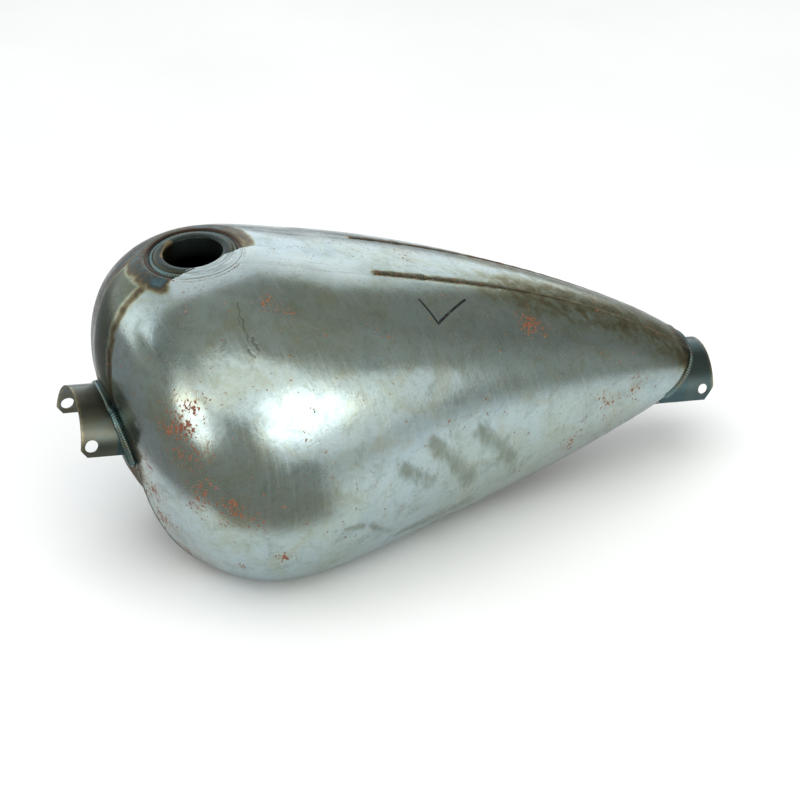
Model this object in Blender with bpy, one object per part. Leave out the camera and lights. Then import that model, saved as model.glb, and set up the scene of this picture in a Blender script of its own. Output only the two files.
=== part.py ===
"""Bare steel one-piece motorcycle fuel tank, welded up from separate sheet pieces.

Axes: +X points back towards the seat, -X to the steering head, -Y to the rider's left, +Z up.
The tank stands on the flat undersides of its two lobes, and the origin is on that floor,
under the middle of the tank. The construction uses millimetres measured from the front end
of the front saddle; every object is stored in metres.
"""

import math

import bmesh
import bpy
import numpy as np
from mathutils import Matrix, Vector

MM = 0.001

# The frame tube that the tank straddles. Its centre line falls towards the seat.
TUBE_PITCH = math.radians(7.3)
TUBE_HEIGHT = 142.0  # centre line above the floor, at the front end
TUBE_RUN = 635.0  # saddle end to saddle end, along the tube
MIDDLE_X = 318.0  # where the origin lies, from the front saddle's end

SHEET = 2.0
CLEARANCE = 0.4  # between neighbouring pieces
BEAD_WIDTH = 3.0
SEAM_GAP = BEAD_WIDTH / 2 + CLEARANCE
PAN_INSET = 1.0  # how much further inside the shell's lower edge the pan's bead sits
STRIP_CROWN = 4.0

SADDLE_RADIUS = 41.25
SADDLE_WALL = 2.5
FRONT_SADDLE_LENGTH = 52.0
FRONT_SKIRT = 5.5  # how far the front saddle's legs run on below the centre line
REAR_SADDLE_LENGTH = 56.0
FRONT_HOLE_RADIUS = 6.2
REAR_HOLE_RADIUS = 5.0
HOLE_UP = {"front": 5.4, "rear": 11.0}  # hole centres above the tube's centre line
HOLE_IN = {"front": 9.7, "rear": 11.2}  # hole centres in from the saddle's free end
FRONT_CHAMFER = (6.5, 7.0)  # length along the tube, height
REAR_CHAMFER = (8.5, 13.0)
FRONT_EAR = 38.0  # how much of each saddle, from its free end, lies clear of its weld
REAR_EAR = 33.0
EAR_SPREAD = 0.2  # how far each ear is sprung outward at its free end
SADDLE_WELD_RADIUS = 2.4
SADDLE_WELD_LEAN = 4.0  # from the sheets' ends to the weld's near side

CHANNEL_RADIUS = SADDLE_RADIUS - SADDLE_WALL - CLEARANCE
CHANNEL_START = 44.0  # along the tube
CHANNEL_END = TUBE_RUN - REAR_SADDLE_LENGTH + 14.0
SHORTEST_LEG = 2.0  # of the channel, below the tube's centre line

FILLER_CENTRE = (123.9, 0.0, 301.5)
FILLER_TILT = math.radians(4.5)  # its rear edge is the higher one
NECK_BORE = 26.6
NECK_RADIUS = 36.6
DISH_RADIUS = 44.5
DISH_WELD_WIDTH = 3.4
DISH_WELD_SPAN = (0.26, 0.49)  # the places along the shell that the outer weld lies between
FILLER_CUT = 70.0  # how deep the filler's guides reach, through the top of the tank

PETCOCK_SPOT = (230.0, -55.0)
PETCOCK_RADIUS = 11.0
PETCOCK_BORE = 7.4
NIPPLE_SPOT = (152.0, 16.0)  # along, up
NIPPLE_RADIUS = 4.6
NIPPLE_BORE = 3.0
NIPPLE_REACH = 16.0
CROSS_CUT = 120.0  # long enough to go through both legs of a saddle or of the tunnel
PAN_CUT = 30.0

# Lines of the left side shell. Each row is one rib's five handles, from the strip's edge down
# over the shoulder and the belly and in under the lobe; the rows run from the front to the
# tail. The right shell mirrors it.
SHELL_LINES = (
    ((38, -27, 171), (40, -35, 164), (43, -41, 151), (46, -43, 136), (51, -45, 118)),
    ((32, -29, 199), (36, -61, 180), (48, -92, 154), (66, -74, 115), (62, -46, 52)),
    ((32, -20, 272), (35, -62, 259), (53, -169, 209), (85, -161, 52), (105, -61, -4)),
    ((113, -30, 317), (130, -127, 293), (144, -211, 206), (166, -189, -23), (175, -93, 0)),
    ((313, -40, 262), (321, -110, 248), (324, -175, 190), (325, -126, 15), (308, -52, -5)),
    ((477, -22, 201), (477, -70, 185), (475, -108, 128), (471, -72, 41), (463, -48, 26)),
    ((583, -25, 136), (581, -50, 132), (578, -61, 120), (573, -51, 81), (563, -46, 70)),
    ((611, -25, 112), (609, -34, 107), (602, -43, 95), (588, -46, 84), (573, -46, 77)),
)

# Places along the shell, from 0 at the nose to 1 at the tail. Neighbouring pieces share them,
# so that their facets stay side by side.
STATIONS = np.linspace(0.0, 1.0, 32)
FILLER_STATION = 12  # where the nose strip hands over to the top strip
RIB_POINTS = 13


def clear_scene():
    for old in list(bpy.data.objects):
        bpy.data.objects.remove(old, do_unlink=True)


def make_material(name, colour, roughness, metallic=1.0):
    made = bpy.data.materials.new(name)
    made.use_nodes = True
    shader = made.node_tree.nodes["Principled BSDF"]
    shader.inputs["Base Color"].default_value = (*colour, 1.0)
    shader.inputs["Roughness"].default_value = roughness
    shader.inputs["Metallic"].default_value = metallic
    return made


def make_empty(name, spot, turn_about_y):
    """A reference axis that pieces hang on."""
    axis = bpy.data.objects.new(name, None)
    axis.location = to_row(spot)
    axis.rotation_euler = (0.0, turn_about_y, 0.0)
    bpy.context.scene.collection.objects.link(axis)
    return axis


def to_row(points):
    """Millimetres from the front saddle's end, as metres in the tank's own frame."""
    return (np.asarray(points, float) - (MIDDLE_X, 0.0, 0.0)) * MM


def unit(vectors):
    return vectors / np.linalg.norm(vectors, axis=-1, keepdims=True)


def add_object(name, mesh, material, parent=None, sharp=math.radians(40)):
    mesh.shade_smooth()
    mesh.set_sharp_from_angle(angle=sharp)
    mesh.materials.append(material)
    made = bpy.data.objects.new(name, mesh)
    made.parent = parent
    bpy.context.scene.collection.objects.link(made)
    return made


def mesh_of(name, points, faces):
    """Points in metres."""
    mesh = bpy.data.meshes.new(name)
    mesh.from_pydata([tuple(p) for p in points], [], faces)
    mesh.update()
    return mesh


def grid_faces(rows, columns, flip, wrap=False):
    """Quads over a grid of points, row by row. wrap joins the last column to the first."""
    faces = []
    for i in range(rows - 1):
        for j in range(columns if wrap else columns - 1):
            k = (j + 1) % columns
            quad = (i * columns + j, i * columns + k, (i + 1) * columns + k, (i + 1) * columns + j)
            faces.append(quad[::-1] if flip else quad)
    return faces


def spline_weights(count, t):
    """Weights of a clamped, even, cubic B-spline's handles at each t from 0 to 1."""
    degree = 3
    inner = np.linspace(0, 1, count - degree + 1)
    knots = np.concatenate([np.zeros(degree), inner, np.ones(degree)])
    t = np.clip(np.atleast_1d(np.asarray(t, float)), 0, 1 - 1e-9)
    weights = [((a <= t) & (t < b)).astype(float) for a, b in zip(knots[:-1], knots[1:])]
    for order in range(1, degree + 1):
        raised = []
        for i in range(len(weights) - 1):
            left = knots[i + order] - knots[i]
            right = knots[i + order + 1] - knots[i + 1]
            value = np.zeros_like(t)
            if left > 0:
                value += (t - knots[i]) / left * weights[i]
            if right > 0:
                value += (knots[i + order + 1] - t) / right * weights[i + 1]
            raised.append(value)
        weights = raised
    return np.stack(weights, 1)


def ribs(along):
    """The handles of the left shell's ribs at each place along, from 0 at the nose to 1."""
    lines = np.array(SHELL_LINES, float)
    return np.einsum("tn,nkc->tkc", spline_weights(len(lines), along), lines)


def on_rib(handles, down):
    """Points on the ribs; down, for each rib, runs from 0 at the strip to 1 under the lobe."""
    down = np.asarray(down, float)
    last = handles.shape[1] - 1
    weights = [
        math.comb(last, k) * down**k * (1 - down) ** (last - k) for k in range(last + 1)
    ]
    points = np.einsum("ktd,tkc->tdc", np.array(weights), handles)
    points[..., 2] = np.maximum(points[..., 2], 0.0)
    return points


def edge_margins(handles, top, bottom):
    """How far down each rib its sheet starts and ends, to leave room for the weld beads."""
    reach = 4.0  # a quartic rib leaves its first handle at four times the handle's length
    first = np.linalg.norm(handles[:, 1] - handles[:, 0], axis=1) * reach
    last = np.linalg.norm(handles[:, -1] - handles[:, -2], axis=1) * reach
    return top / first, 1 - bottom / last


def shell_grid(along, columns, top=SEAM_GAP, bottom=SEAM_GAP):
    handles = ribs(along)
    start, end = edge_margins(handles, top, bottom)
    # Columns gather near the two edges, where the shell bends most.
    share = (1 - np.cos(np.linspace(0, math.pi, columns))) / 2
    even = np.linspace(0, 1, columns)
    share = 0.5 * share + 0.5 * even
    return on_rib(handles, start[:, None] + (end - start)[:, None] * share[None, :])


def seam_frame(along):
    """Points on the strip's edge, with the outward direction of the sheet there."""
    spread = 1e-3
    points = on_rib(ribs(along), np.zeros((len(along), 1)))[:, 0]
    ahead = on_rib(ribs(np.minimum(along + spread, 1)), np.zeros((len(along), 1)))[:, 0]
    behind = on_rib(ribs(np.maximum(along - spread, 0)), np.zeros((len(along), 1)))[:, 0]
    run = ahead - behind
    run[:, 1] = 0.0
    run = unit(run)
    outward = np.stack([-run[:, 2], np.zeros(len(run)), run[:, 0]], 1)
    return points, outward


def strip_grid(along, columns, margin=SEAM_GAP):
    """The crowned strip between the two side shells."""
    points, outward = seam_frame(along)
    grid = np.zeros((len(along), columns, 3))
    for j, across in enumerate(np.linspace(-1, 1, columns)):
        half = np.abs(points[:, 1])
        side = across * (half - margin)
        rise = STRIP_CROWN * (1 - (side / half) ** 2)
        grid[:, j] = points + outward * rise[:, None]
        grid[:, j, 1] = side
    return grid


def mirrored(grid):
    return grid * (1, -1, 1)


def sheet_object(name, grid, material, flip, thickness=SHEET, offset=-1.0):
    """A sheet of even thickness, whose outer face runs through the grid's points."""
    rows, columns = grid.shape[:2]
    mesh = mesh_of(name, to_row(grid.reshape(-1, 3)), grid_faces(rows, columns, flip))
    made = add_object(name, mesh, material)
    solidify = made.modifiers.new("thickness", "SOLIDIFY")
    solidify.thickness = thickness * MM
    solidify.offset = offset
    solidify.use_even_offset = True
    return made


def bar_object(name, sections, material):
    """A closed solid through a run of cross-sections, given as (count, corners, 3) in metres."""
    rows, corners = sections.shape[:2]
    faces = grid_faces(rows, corners, flip=False, wrap=True)
    first = tuple(range(corners))
    last = tuple((rows - 1) * corners + j for j in range(corners))
    faces += [first[::-1], last]
    mesh = mesh_of(name, sections.reshape(-1, 3), faces)
    made = bmesh.new()
    made.from_mesh(mesh)
    bmesh.ops.recalc_face_normals(made, faces=made.faces)
    made.to_mesh(mesh)
    made.free()
    return add_object(name, mesh, material)


def turned_object(name, profile, material, parent, segments=40):
    """A ring turned about its parent's Z axis from (radius, height) corners in millimetres."""
    made = bmesh.new()
    ring = [made.verts.new((radius * MM, 0.0, height * MM)) for radius, height in profile]
    edges = [made.edges.new((a, b)) for a, b in zip(ring, ring[1:] + ring[:1])]
    bmesh.ops.spin(
        made, geom=ring + edges, cent=(0, 0, 0), axis=(0, 0, 1), angle=math.tau, steps=segments
    )
    bmesh.ops.remove_doubles(made, verts=made.verts, dist=1e-6)
    bmesh.ops.recalc_face_normals(made, faces=made.faces)
    mesh = bpy.data.meshes.new(name)
    made.to_mesh(mesh)
    made.free()
    return add_object(name, mesh, material, parent)


def cylinder_cutter(name, radius, length, parent, spot=(0, 0, 0), axis="X", segments=48):
    """A guide that only cuts: it is never part of the tank."""
    turn = {"X": Matrix.Rotation(math.pi / 2, 4, "Y"), "Y": Matrix.Rotation(math.pi / 2, 4, "X")}
    made = bmesh.new()
    bmesh.ops.create_cone(
        made,
        cap_ends=True,
        segments=segments,
        radius1=radius * MM,
        radius2=radius * MM,
        depth=length * MM,
        matrix=Matrix.Translation(Vector(spot) * MM) @ turn.get(axis, Matrix.Identity(4)),
    )
    mesh = bpy.data.meshes.new(name)
    made.to_mesh(mesh)
    made.free()
    cutter = bpy.data.objects.new(name, mesh)
    cutter.parent = parent
    cutter.hide_render = True
    cutter.display_type = "WIRE"
    bpy.context.scene.collection.objects.link(cutter)
    return cutter


def boolean(target, other, operation="DIFFERENCE"):
    modifier = target.modifiers.new(other.name, "BOOLEAN")
    modifier.operation = operation
    modifier.object = other
    modifier.solver = "EXACT"


def bead_sections(spots, toward_a, toward_b, outward):
    """A flush bead's cross-sections: half its width to each side, a little proud, sheet deep."""
    half = BEAD_WIDTH / 2
    proud = 0.5
    shoulder = 0.1
    deep = SHEET - 0.2
    out_a = unit(outward - toward_a * np.sum(outward * toward_a, 1)[:, None])
    out_b = unit(outward - toward_b * np.sum(outward * toward_b, 1)[:, None])
    corners = (
        spots + toward_a * half + out_a * shoulder,
        spots + outward * proud,
        spots + toward_b * half + out_b * shoulder,
        spots + toward_b * half - out_b * deep,
        spots + toward_a * half - out_a * deep,
    )
    return to_row(np.stack(corners, 1))


def build_side_shells(material, cutters):
    left = shell_grid(STATIONS, RIB_POINTS)
    for name, grid, flip in (
        ("left_side_shell", left, False),
        ("right_side_shell", mirrored(left), True),
    ):
        shell = sheet_object(name, grid, material, flip)
        for cutter in cutters:
            boolean(shell, cutter)


def build_strips(nose_material, top_material, cutters):
    for name, stations, material in (
        ("nose_strip", STATIONS[: FILLER_STATION + 1], nose_material),
        ("top_strip", STATIONS[FILLER_STATION:], top_material),
    ):
        grid = strip_grid(stations, 7)
        strip = sheet_object(name, grid, material, flip=True)
        for cutter in cutters:
            boolean(strip, cutter)


def build_seam_welds(material, cutters):
    for part, stations in (
        ("nose", STATIONS[: FILLER_STATION + 1]),
        ("top", STATIONS[FILLER_STATION:]),
    ):
        spots, outward = seam_frame(stations)
        handles = ribs(stations)
        shell_start = edge_margins(handles, SEAM_GAP, SEAM_GAP)[0]
        to_shell = unit(on_rib(handles, shell_start[:, None])[:, 0] - spots)
        to_strip = np.zeros_like(spots) + (0, 1, 0)
        sections = bead_sections(spots, to_shell, to_strip, outward)
        for side, sign in (("left", 1), ("right", -1)):
            bead = bar_object(f"{side}_{part}_seam_weld", sections * (1, sign, 1), material)
            for cutter in cutters:
                boolean(bead, cutter)


def tube_point(along, across, up):
    """A point given along the frame tube, sideways, and up from its centre line."""
    c, s = math.cos(TUBE_PITCH), math.sin(TUBE_PITCH)
    return np.array([along * c + up * s, across, TUBE_HEIGHT - along * s + up * c])


def lower_edge(along):
    """The lower edge of the left side shell, under the lobe."""
    return on_rib(ribs(along), np.ones((len(along), 1)))[:, 0]


def build_tunnel(material, nipple_cutter):
    """The inverted U that the frame tube runs through, with its legs down to the floor pans."""
    rows = len(STATIONS)
    arc_steps = 12
    edge = lower_edge(STATIONS)
    feet_up = TUBE_HEIGHT - edge[:, 0] * math.tan(TUBE_PITCH) - SHORTEST_LEG
    feet = np.minimum(edge[:, 2], feet_up)
    outer = np.zeros((rows, arc_steps + 3, 3))
    for i, share in enumerate(STATIONS):
        crest = CHANNEL_START + (CHANNEL_END - CHANNEL_START) * share
        for j, angle in enumerate(np.linspace(math.pi, 0, arc_steps + 1)):
            across = CHANNEL_RADIUS * math.cos(angle)
            up = CHANNEL_RADIUS * math.sin(angle)
            outer[i, j + 1] = tube_point(crest, across, up)
        outer[i, 0] = (edge[i, 0], -CHANNEL_RADIUS, feet[i])
        outer[i, -1] = (edge[i, 0], CHANNEL_RADIUS, feet[i])
    tunnel = sheet_object("tunnel_channel", outer, material, flip=True)
    boolean(tunnel, nipple_cutter)


def build_pans(material, weld_material, petcock_cutter):
    """The narrow floors of the lobes, between each side shell and the tunnel."""
    along = STATIONS[2:-1]
    edge = lower_edge(along)
    inner = edge.copy()
    inner[:, 1] = -(CHANNEL_RADIUS + CLEARANCE)
    spots = edge.copy()
    spots[:, 1] += SEAM_GAP + PAN_INSET
    outer = spots.copy()
    outer[:, 1] = np.minimum(spots[:, 1] + SEAM_GAP, inner[:, 1] - 1.5)
    grid = np.stack([outer, inner], 1)
    run = np.gradient(edge, axis=0)
    run[:, 1] = 0.0
    downward = unit(np.stack([run[:, 2], np.zeros(len(run)), -run[:, 0]], 1))
    sideways = np.zeros_like(edge) + (0, 1, 0)
    sections = bead_sections(spots, -sideways, sideways, downward)
    low = sections[..., 2] < 0
    sections[..., 2][low] = 0.0
    for side, sign, flip in (("left", 1, False), ("right", -1, True)):
        pan = sheet_object(f"{side}_bottom_pan", grid * (1, sign, 1), material, flip=flip)
        if side == "left":
            boolean(pan, petcock_cutter)
        bar_object(f"{side}_pan_weld", sections * (1, sign, 1), weld_material)


def saddle_sections(length, skirt, chamfer, ear, free_end_first):
    """Outline rows round a half-pipe saddle, with chamfered lower corners at the free end.

    Each row is (angle, up offset, stops), and each stop is (place along the saddle, how far
    the plate is sprung outward there): the free end, the inner end of the ear, the hidden end.
    """
    rows = []
    cut_length, cut_height = chamfer
    steps = 16
    levels = [(math.pi, -skirt)] if skirt else []
    levels += [(math.pi - math.pi * k / steps, 0.0) for k in range(steps + 1)]
    levels += [(0.0, -skirt)] if skirt else []
    for angle, drop in levels:
        height = SADDLE_RADIUS * math.sin(angle) + drop + skirt
        missing = max(0.0, 1 - height / cut_height) * cut_length
        stops = ((missing, EAR_SPREAD), (ear, 0.0), (length, 0.0))
        if not free_end_first:
            stops = [(length - place, spread) for place, spread in reversed(stops)]
        rows.append((angle, drop, stops))
    return rows


def build_saddle(name, offset, rows, hole_cutter, material, tube_axis):
    columns = 3
    outer = np.zeros((len(rows), columns, 3))
    for i, (angle, drop, stops) in enumerate(rows):
        for j, (place, spread) in enumerate(stops):
            radius = SADDLE_RADIUS + spread
            up = radius * math.sin(angle) + drop
            outer[i, j] = (offset + place, radius * math.cos(angle), up)
    points = outer.reshape(-1, 3) * MM
    mesh = mesh_of(name, points, grid_faces(len(rows), columns, flip=False))
    saddle = add_object(name, mesh, material, tube_axis, sharp=math.radians(30))
    solidify = saddle.modifiers.new("plate", "SOLIDIFY")
    solidify.thickness = SADDLE_WALL * MM
    solidify.offset = -1.0
    solidify.use_even_offset = True
    boolean(saddle, hole_cutter)


def build_saddles(material, tube_axis):
    """The half-pipe plates that carry the tank on the frame, each with a bolt hole through it."""
    front = saddle_sections(FRONT_SADDLE_LENGTH, FRONT_SKIRT, FRONT_CHAMFER, FRONT_EAR, True)
    rear = saddle_sections(REAR_SADDLE_LENGTH, 0.0, REAR_CHAMFER, REAR_EAR, False)
    for end, offset, rows, hole_along, hole_radius in (
        ("front", 0.0, front, HOLE_IN["front"], FRONT_HOLE_RADIUS),
        ("rear", TUBE_RUN - REAR_SADDLE_LENGTH, rear, TUBE_RUN - HOLE_IN["rear"], REAR_HOLE_RADIUS),
    ):
        hole = cylinder_cutter(
            f"{end}_bolt_clearance",
            hole_radius,
            CROSS_CUT,
            tube_axis,
            spot=(hole_along, 0, HOLE_UP[end]),
            axis="Y",
            segments=24,
        )
        build_saddle(f"{end}_saddle", offset, rows, hole, material, tube_axis)


def tube_bead(name, spots, radius, material, sides=6):
    """A round bead along a path of points in millimetres."""
    run = unit(np.gradient(spots, axis=0))
    out_from_tube = spots - tube_feet(spots)
    first = unit(out_from_tube - run * np.sum(run * out_from_tube, 1)[:, None])
    second = np.cross(run, first)
    corners = [
        spots + radius * (math.cos(a) * first + math.sin(a) * second)
        for a in np.linspace(0, math.tau, sides, endpoint=False)
    ]
    return bar_object(name, to_row(np.stack(corners, 1)), material)


def tube_feet(points):
    """The nearest points on the frame tube's centre line."""
    origin = tube_point(0, 0, 0)
    direction = tube_point(1, 0, 0) - origin
    return origin + ((points - origin) @ direction)[:, None] * direction


def saddle_weld_path(along, lean):
    """Round the tube just outside the sheets' ends, from the left leg over to the right."""
    shell = on_rib(ribs(np.array([along])), np.linspace(1, 0, RIB_POINTS)[None, :])[0]
    strip = strip_grid(np.array([along]), 9, margin=0.0)[0]
    edge = np.concatenate([shell, strip[1:-1], mirrored(shell)[::-1]])
    feet = tube_feet(edge)
    upward = tube_point(0, 0, 1) - tube_point(0, 0, 0)
    drop = np.minimum((edge - feet) @ upward, 0.0)
    feet += drop[:, None] * upward  # below the centre line the saddle's legs run straight down
    radial = unit(edge - feet)
    on_tube = feet + radial * (SADDLE_RADIUS + SADDLE_WELD_RADIUS + 2 * CLEARANCE)
    return on_tube + lean * (tube_point(1, 0, 0) - tube_point(0, 0, 0))


def build_saddle_welds(material):
    lean = SADDLE_WELD_RADIUS + SADDLE_WELD_LEAN
    for name, along, toward_free_end in (("front", 0.0, -lean), ("rear", 1.0, lean)):
        path = saddle_weld_path(along, toward_free_end)
        tube_bead(f"{name}_saddle_weld", path, SADDLE_WELD_RADIUS, material)


def build_filler(neck_material, dish_material, weld_material, filler_axis, filler_blank):
    neck = (
        (NECK_BORE, 0.4),
        (NECK_BORE, -22.0),
        (NECK_BORE + 3.2, -22.0),
        (NECK_BORE + 3.2, -6.0),
        (NECK_RADIUS, -4.0),
        (NECK_RADIUS, -0.2),
        (NECK_RADIUS - 1.6, 1.1),
        (NECK_RADIUS - 4.6, 1.8),
        (NECK_BORE + 2.4, 1.4),
    )
    turned_object("filler_neck", neck, neck_material, filler_axis)
    bead_in = NECK_RADIUS + CLEARANCE
    bead_out = bead_in + 2.2
    bead = ((bead_in, -2.4), (bead_out, -2.4), (bead_out, -0.9), (bead_in + 1.1, -0.2), (bead_in, -0.4))
    turned_object("filler_neck_weld", bead, weld_material, filler_axis)
    dish_in = bead_out + CLEARANCE
    dish = (
        (dish_in, -1.4),
        (dish_in, -3.6),
        (DISH_RADIUS - 2.2, -4.0),
        (DISH_RADIUS - 2.2, -9.0),
        (DISH_RADIUS, -9.0),
        (DISH_RADIUS, -0.6),
        (DISH_RADIUS - 0.8, 0.0),
        (DISH_RADIUS - 2.4, -0.3),
        (dish_in + 1.4, -1.7),
    )
    turned_object("filler_dish", dish, dish_material, filler_axis)
    # The outer weld follows the crowned top of the tank round the dish.
    along = np.linspace(*DISH_WELD_SPAN, 22)
    left = shell_grid(along, 26, top=0.0)[:, 4::-1]
    top = strip_grid(along, 7, margin=0.0)[:, 1:-1]
    crown = np.concatenate([left, top, mirrored(left)[:, ::-1]], 1)
    weld = sheet_object("filler_dish_weld", crown, weld_material, True, SHEET + 1.2, offset=-0.3)
    boolean(weld, filler_blank, "INTERSECT")


def build_petcock_bung(material):
    spot = make_empty("petcock_axis", (*PETCOCK_SPOT, 0.0), 0.0)
    lip = 1.6
    bung = (
        (PETCOCK_BORE, 0.3),
        (PETCOCK_RADIUS, 0.3),
        (PETCOCK_RADIUS, SHEET + lip),
        (PETCOCK_RADIUS - 1.0, SHEET + lip + 1.0),
        (PETCOCK_RADIUS - 1.0, 13.0),
        (PETCOCK_BORE, 13.0),
    )
    turned_object("petcock_bung", bung, material, spot, segments=24)


def build_nipples(material):
    """Balance-pipe stubs low in the tunnel's walls, which join the two lobes with a hose."""
    along, up = NIPPLE_SPOT
    wall = CHANNEL_RADIUS
    barb = NIPPLE_RADIUS + 0.7
    profile = (
        (NIPPLE_BORE, -1.5),
        (NIPPLE_BORE, NIPPLE_REACH + SHEET),
        (NIPPLE_RADIUS - 0.4, NIPPLE_REACH + SHEET),
        (barb, NIPPLE_REACH + SHEET - 3.5),
        (NIPPLE_RADIUS, NIPPLE_REACH + SHEET - 4.5),
        (NIPPLE_RADIUS, -1.5),
    )
    for side, sign in (("left", -1), ("right", 1)):
        axis = make_empty(f"{side}_nipple_axis", (along, sign * wall, up), 0.0)
        axis.rotation_euler = (sign * math.pi / 2, 0.0, 0.0)
        turned_object(f"{side}_crossover_nipple", profile, material, axis, segments=16)


def main():
    clear_scene()
    raw = make_material("raw_steel", (0.42, 0.46, 0.45), 0.38)
    nose = make_material("heat_darkened_steel", (0.24, 0.26, 0.21), 0.42)
    blued = make_material("heat_blued_steel", (0.13, 0.20, 0.21), 0.4)
    plate = make_material("saddle_plate", (0.22, 0.25, 0.24), 0.42)
    weld = make_material("weld_bead", (0.30, 0.36, 0.36), 0.32)
    inside = make_material("tunnel_steel", (0.25, 0.25, 0.23), 0.55)

    tube_axis = make_empty("frame_tube_axis", (0.0, 0.0, TUBE_HEIGHT), TUBE_PITCH)
    filler_axis = make_empty("filler_axis", FILLER_CENTRE, -FILLER_TILT)
    bore = cylinder_cutter(
        "frame_tube_clearance",
        SADDLE_RADIUS + CLEARANCE,
        TUBE_RUN + 100,
        tube_axis,
        spot=(TUBE_RUN / 2, 0, 0),
    )
    weld_outer = DISH_RADIUS + CLEARANCE + DISH_WELD_WIDTH
    mouth = cylinder_cutter(
        "filler_clearance", weld_outer + CLEARANCE, FILLER_CUT, filler_axis, axis="Z", segments=56
    )
    blank_profile = (
        (DISH_RADIUS + CLEARANCE, -FILLER_CUT / 2),
        (weld_outer, -FILLER_CUT / 2),
        (weld_outer, FILLER_CUT / 2),
        (DISH_RADIUS + CLEARANCE, FILLER_CUT / 2),
    )
    blank = turned_object("filler_weld_blank", blank_profile, weld, filler_axis, segments=56)
    blank.hide_render = True
    blank.display_type = "WIRE"

    build_side_shells(raw, (bore, mouth))
    build_strips(nose, raw, (bore, mouth))
    build_seam_welds(weld, (bore, mouth))

    along, up = NIPPLE_SPOT
    nipple_cutter = cylinder_cutter(
        "nipple_clearance",
        NIPPLE_RADIUS + CLEARANCE,
        CROSS_CUT,
        make_empty("crossover_axis", (along, 0.0, up), 0.0),
        axis="Y",
        segments=20,
    )
    build_tunnel(inside, nipple_cutter)
    petcock_cutter = cylinder_cutter(
        "petcock_clearance",
        PETCOCK_RADIUS + CLEARANCE,
        PAN_CUT,
        make_empty("petcock_hole_axis", (*PETCOCK_SPOT, 0.0), 0.0),
        axis="Z",
        segments=28,
    )
    build_pans(inside, weld, petcock_cutter)

    build_saddles(plate, tube_axis)
    build_saddle_welds(weld)
    build_filler(blued, blued, weld, filler_axis, blank)
    build_petcock_bung(inside)
    build_nipples(inside)


main()
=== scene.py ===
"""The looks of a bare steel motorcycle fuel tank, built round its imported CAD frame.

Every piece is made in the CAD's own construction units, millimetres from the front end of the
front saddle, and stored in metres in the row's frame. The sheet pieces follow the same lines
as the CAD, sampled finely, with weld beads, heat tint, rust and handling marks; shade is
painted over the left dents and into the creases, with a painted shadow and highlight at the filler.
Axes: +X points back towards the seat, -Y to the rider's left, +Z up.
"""

import math

import bmesh
import bpy
import numpy as np
from mathutils import Matrix, Vector


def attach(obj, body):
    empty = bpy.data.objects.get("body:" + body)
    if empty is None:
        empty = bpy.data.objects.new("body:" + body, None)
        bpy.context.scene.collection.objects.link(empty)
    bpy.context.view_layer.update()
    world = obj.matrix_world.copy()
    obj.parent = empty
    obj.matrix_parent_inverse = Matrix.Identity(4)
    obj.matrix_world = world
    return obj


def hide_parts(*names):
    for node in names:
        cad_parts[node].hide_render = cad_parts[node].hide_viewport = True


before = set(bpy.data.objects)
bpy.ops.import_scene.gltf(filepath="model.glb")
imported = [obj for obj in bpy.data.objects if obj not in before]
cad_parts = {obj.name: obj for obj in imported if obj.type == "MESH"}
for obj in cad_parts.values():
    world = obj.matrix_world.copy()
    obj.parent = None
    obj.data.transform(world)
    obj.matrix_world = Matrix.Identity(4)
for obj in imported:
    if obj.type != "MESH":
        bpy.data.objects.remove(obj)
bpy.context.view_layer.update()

MM = 0.001
MIDDLE_X = 318.0  # where the row's origin lies, from the front saddle's end

TUBE_PITCH = math.radians(7.3)  # the frame tube falls towards the seat
TUBE_HEIGHT = 142.0  # its centre line above the floor, at the front end
TUBE_RUN = 635.0

SHEET = 2.0
CLEARANCE = 0.4
STRIP_CROWN = 4.0

SADDLE_RADIUS = 41.25
SADDLE_WALL = 2.5
FRONT_SADDLE_LENGTH = 52.0
FRONT_SKIRT = 5.5  # how far the front saddle's legs run on below the tube's centre line
REAR_SADDLE_LENGTH = 56.0
HOLE_RADIUS = {"front": 6.2, "rear": 5.0}
HOLE_UP = {"front": 5.4, "rear": 11.0}
HOLE_IN = {"front": 9.7, "rear": 11.2}
FRONT_CHAMFER = (6.5, 7.0)  # length along the tube, height
REAR_CHAMFER = (8.5, 13.0)

CHANNEL_RADIUS = SADDLE_RADIUS - SADDLE_WALL - CLEARANCE
CHANNEL_START = 44.0  # along the tube
CHANNEL_END = TUBE_RUN - REAR_SADDLE_LENGTH + 14.0

FILLER_CENTRE = (123.9, 0.0, 301.5)
FILLER_TILT = math.radians(4.5)  # its rear edge is the higher one
NECK_BORE = 26.6
NECK_RADIUS = 36.6
DISH_RADIUS = 44.5
DISH_WELD_RADIUS = DISH_RADIUS + CLEARANCE + 3.4

PETCOCK_SPOT = (230.0, -55.0)
PETCOCK_RADIUS = 11.0
PETCOCK_BORE = 7.4
NIPPLE_SPOT = (152.0, 16.0)  # back, up
NIPPLE_RADIUS = 4.6
NIPPLE_BORE = 3.0
NIPPLE_REACH = 16.0

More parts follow.
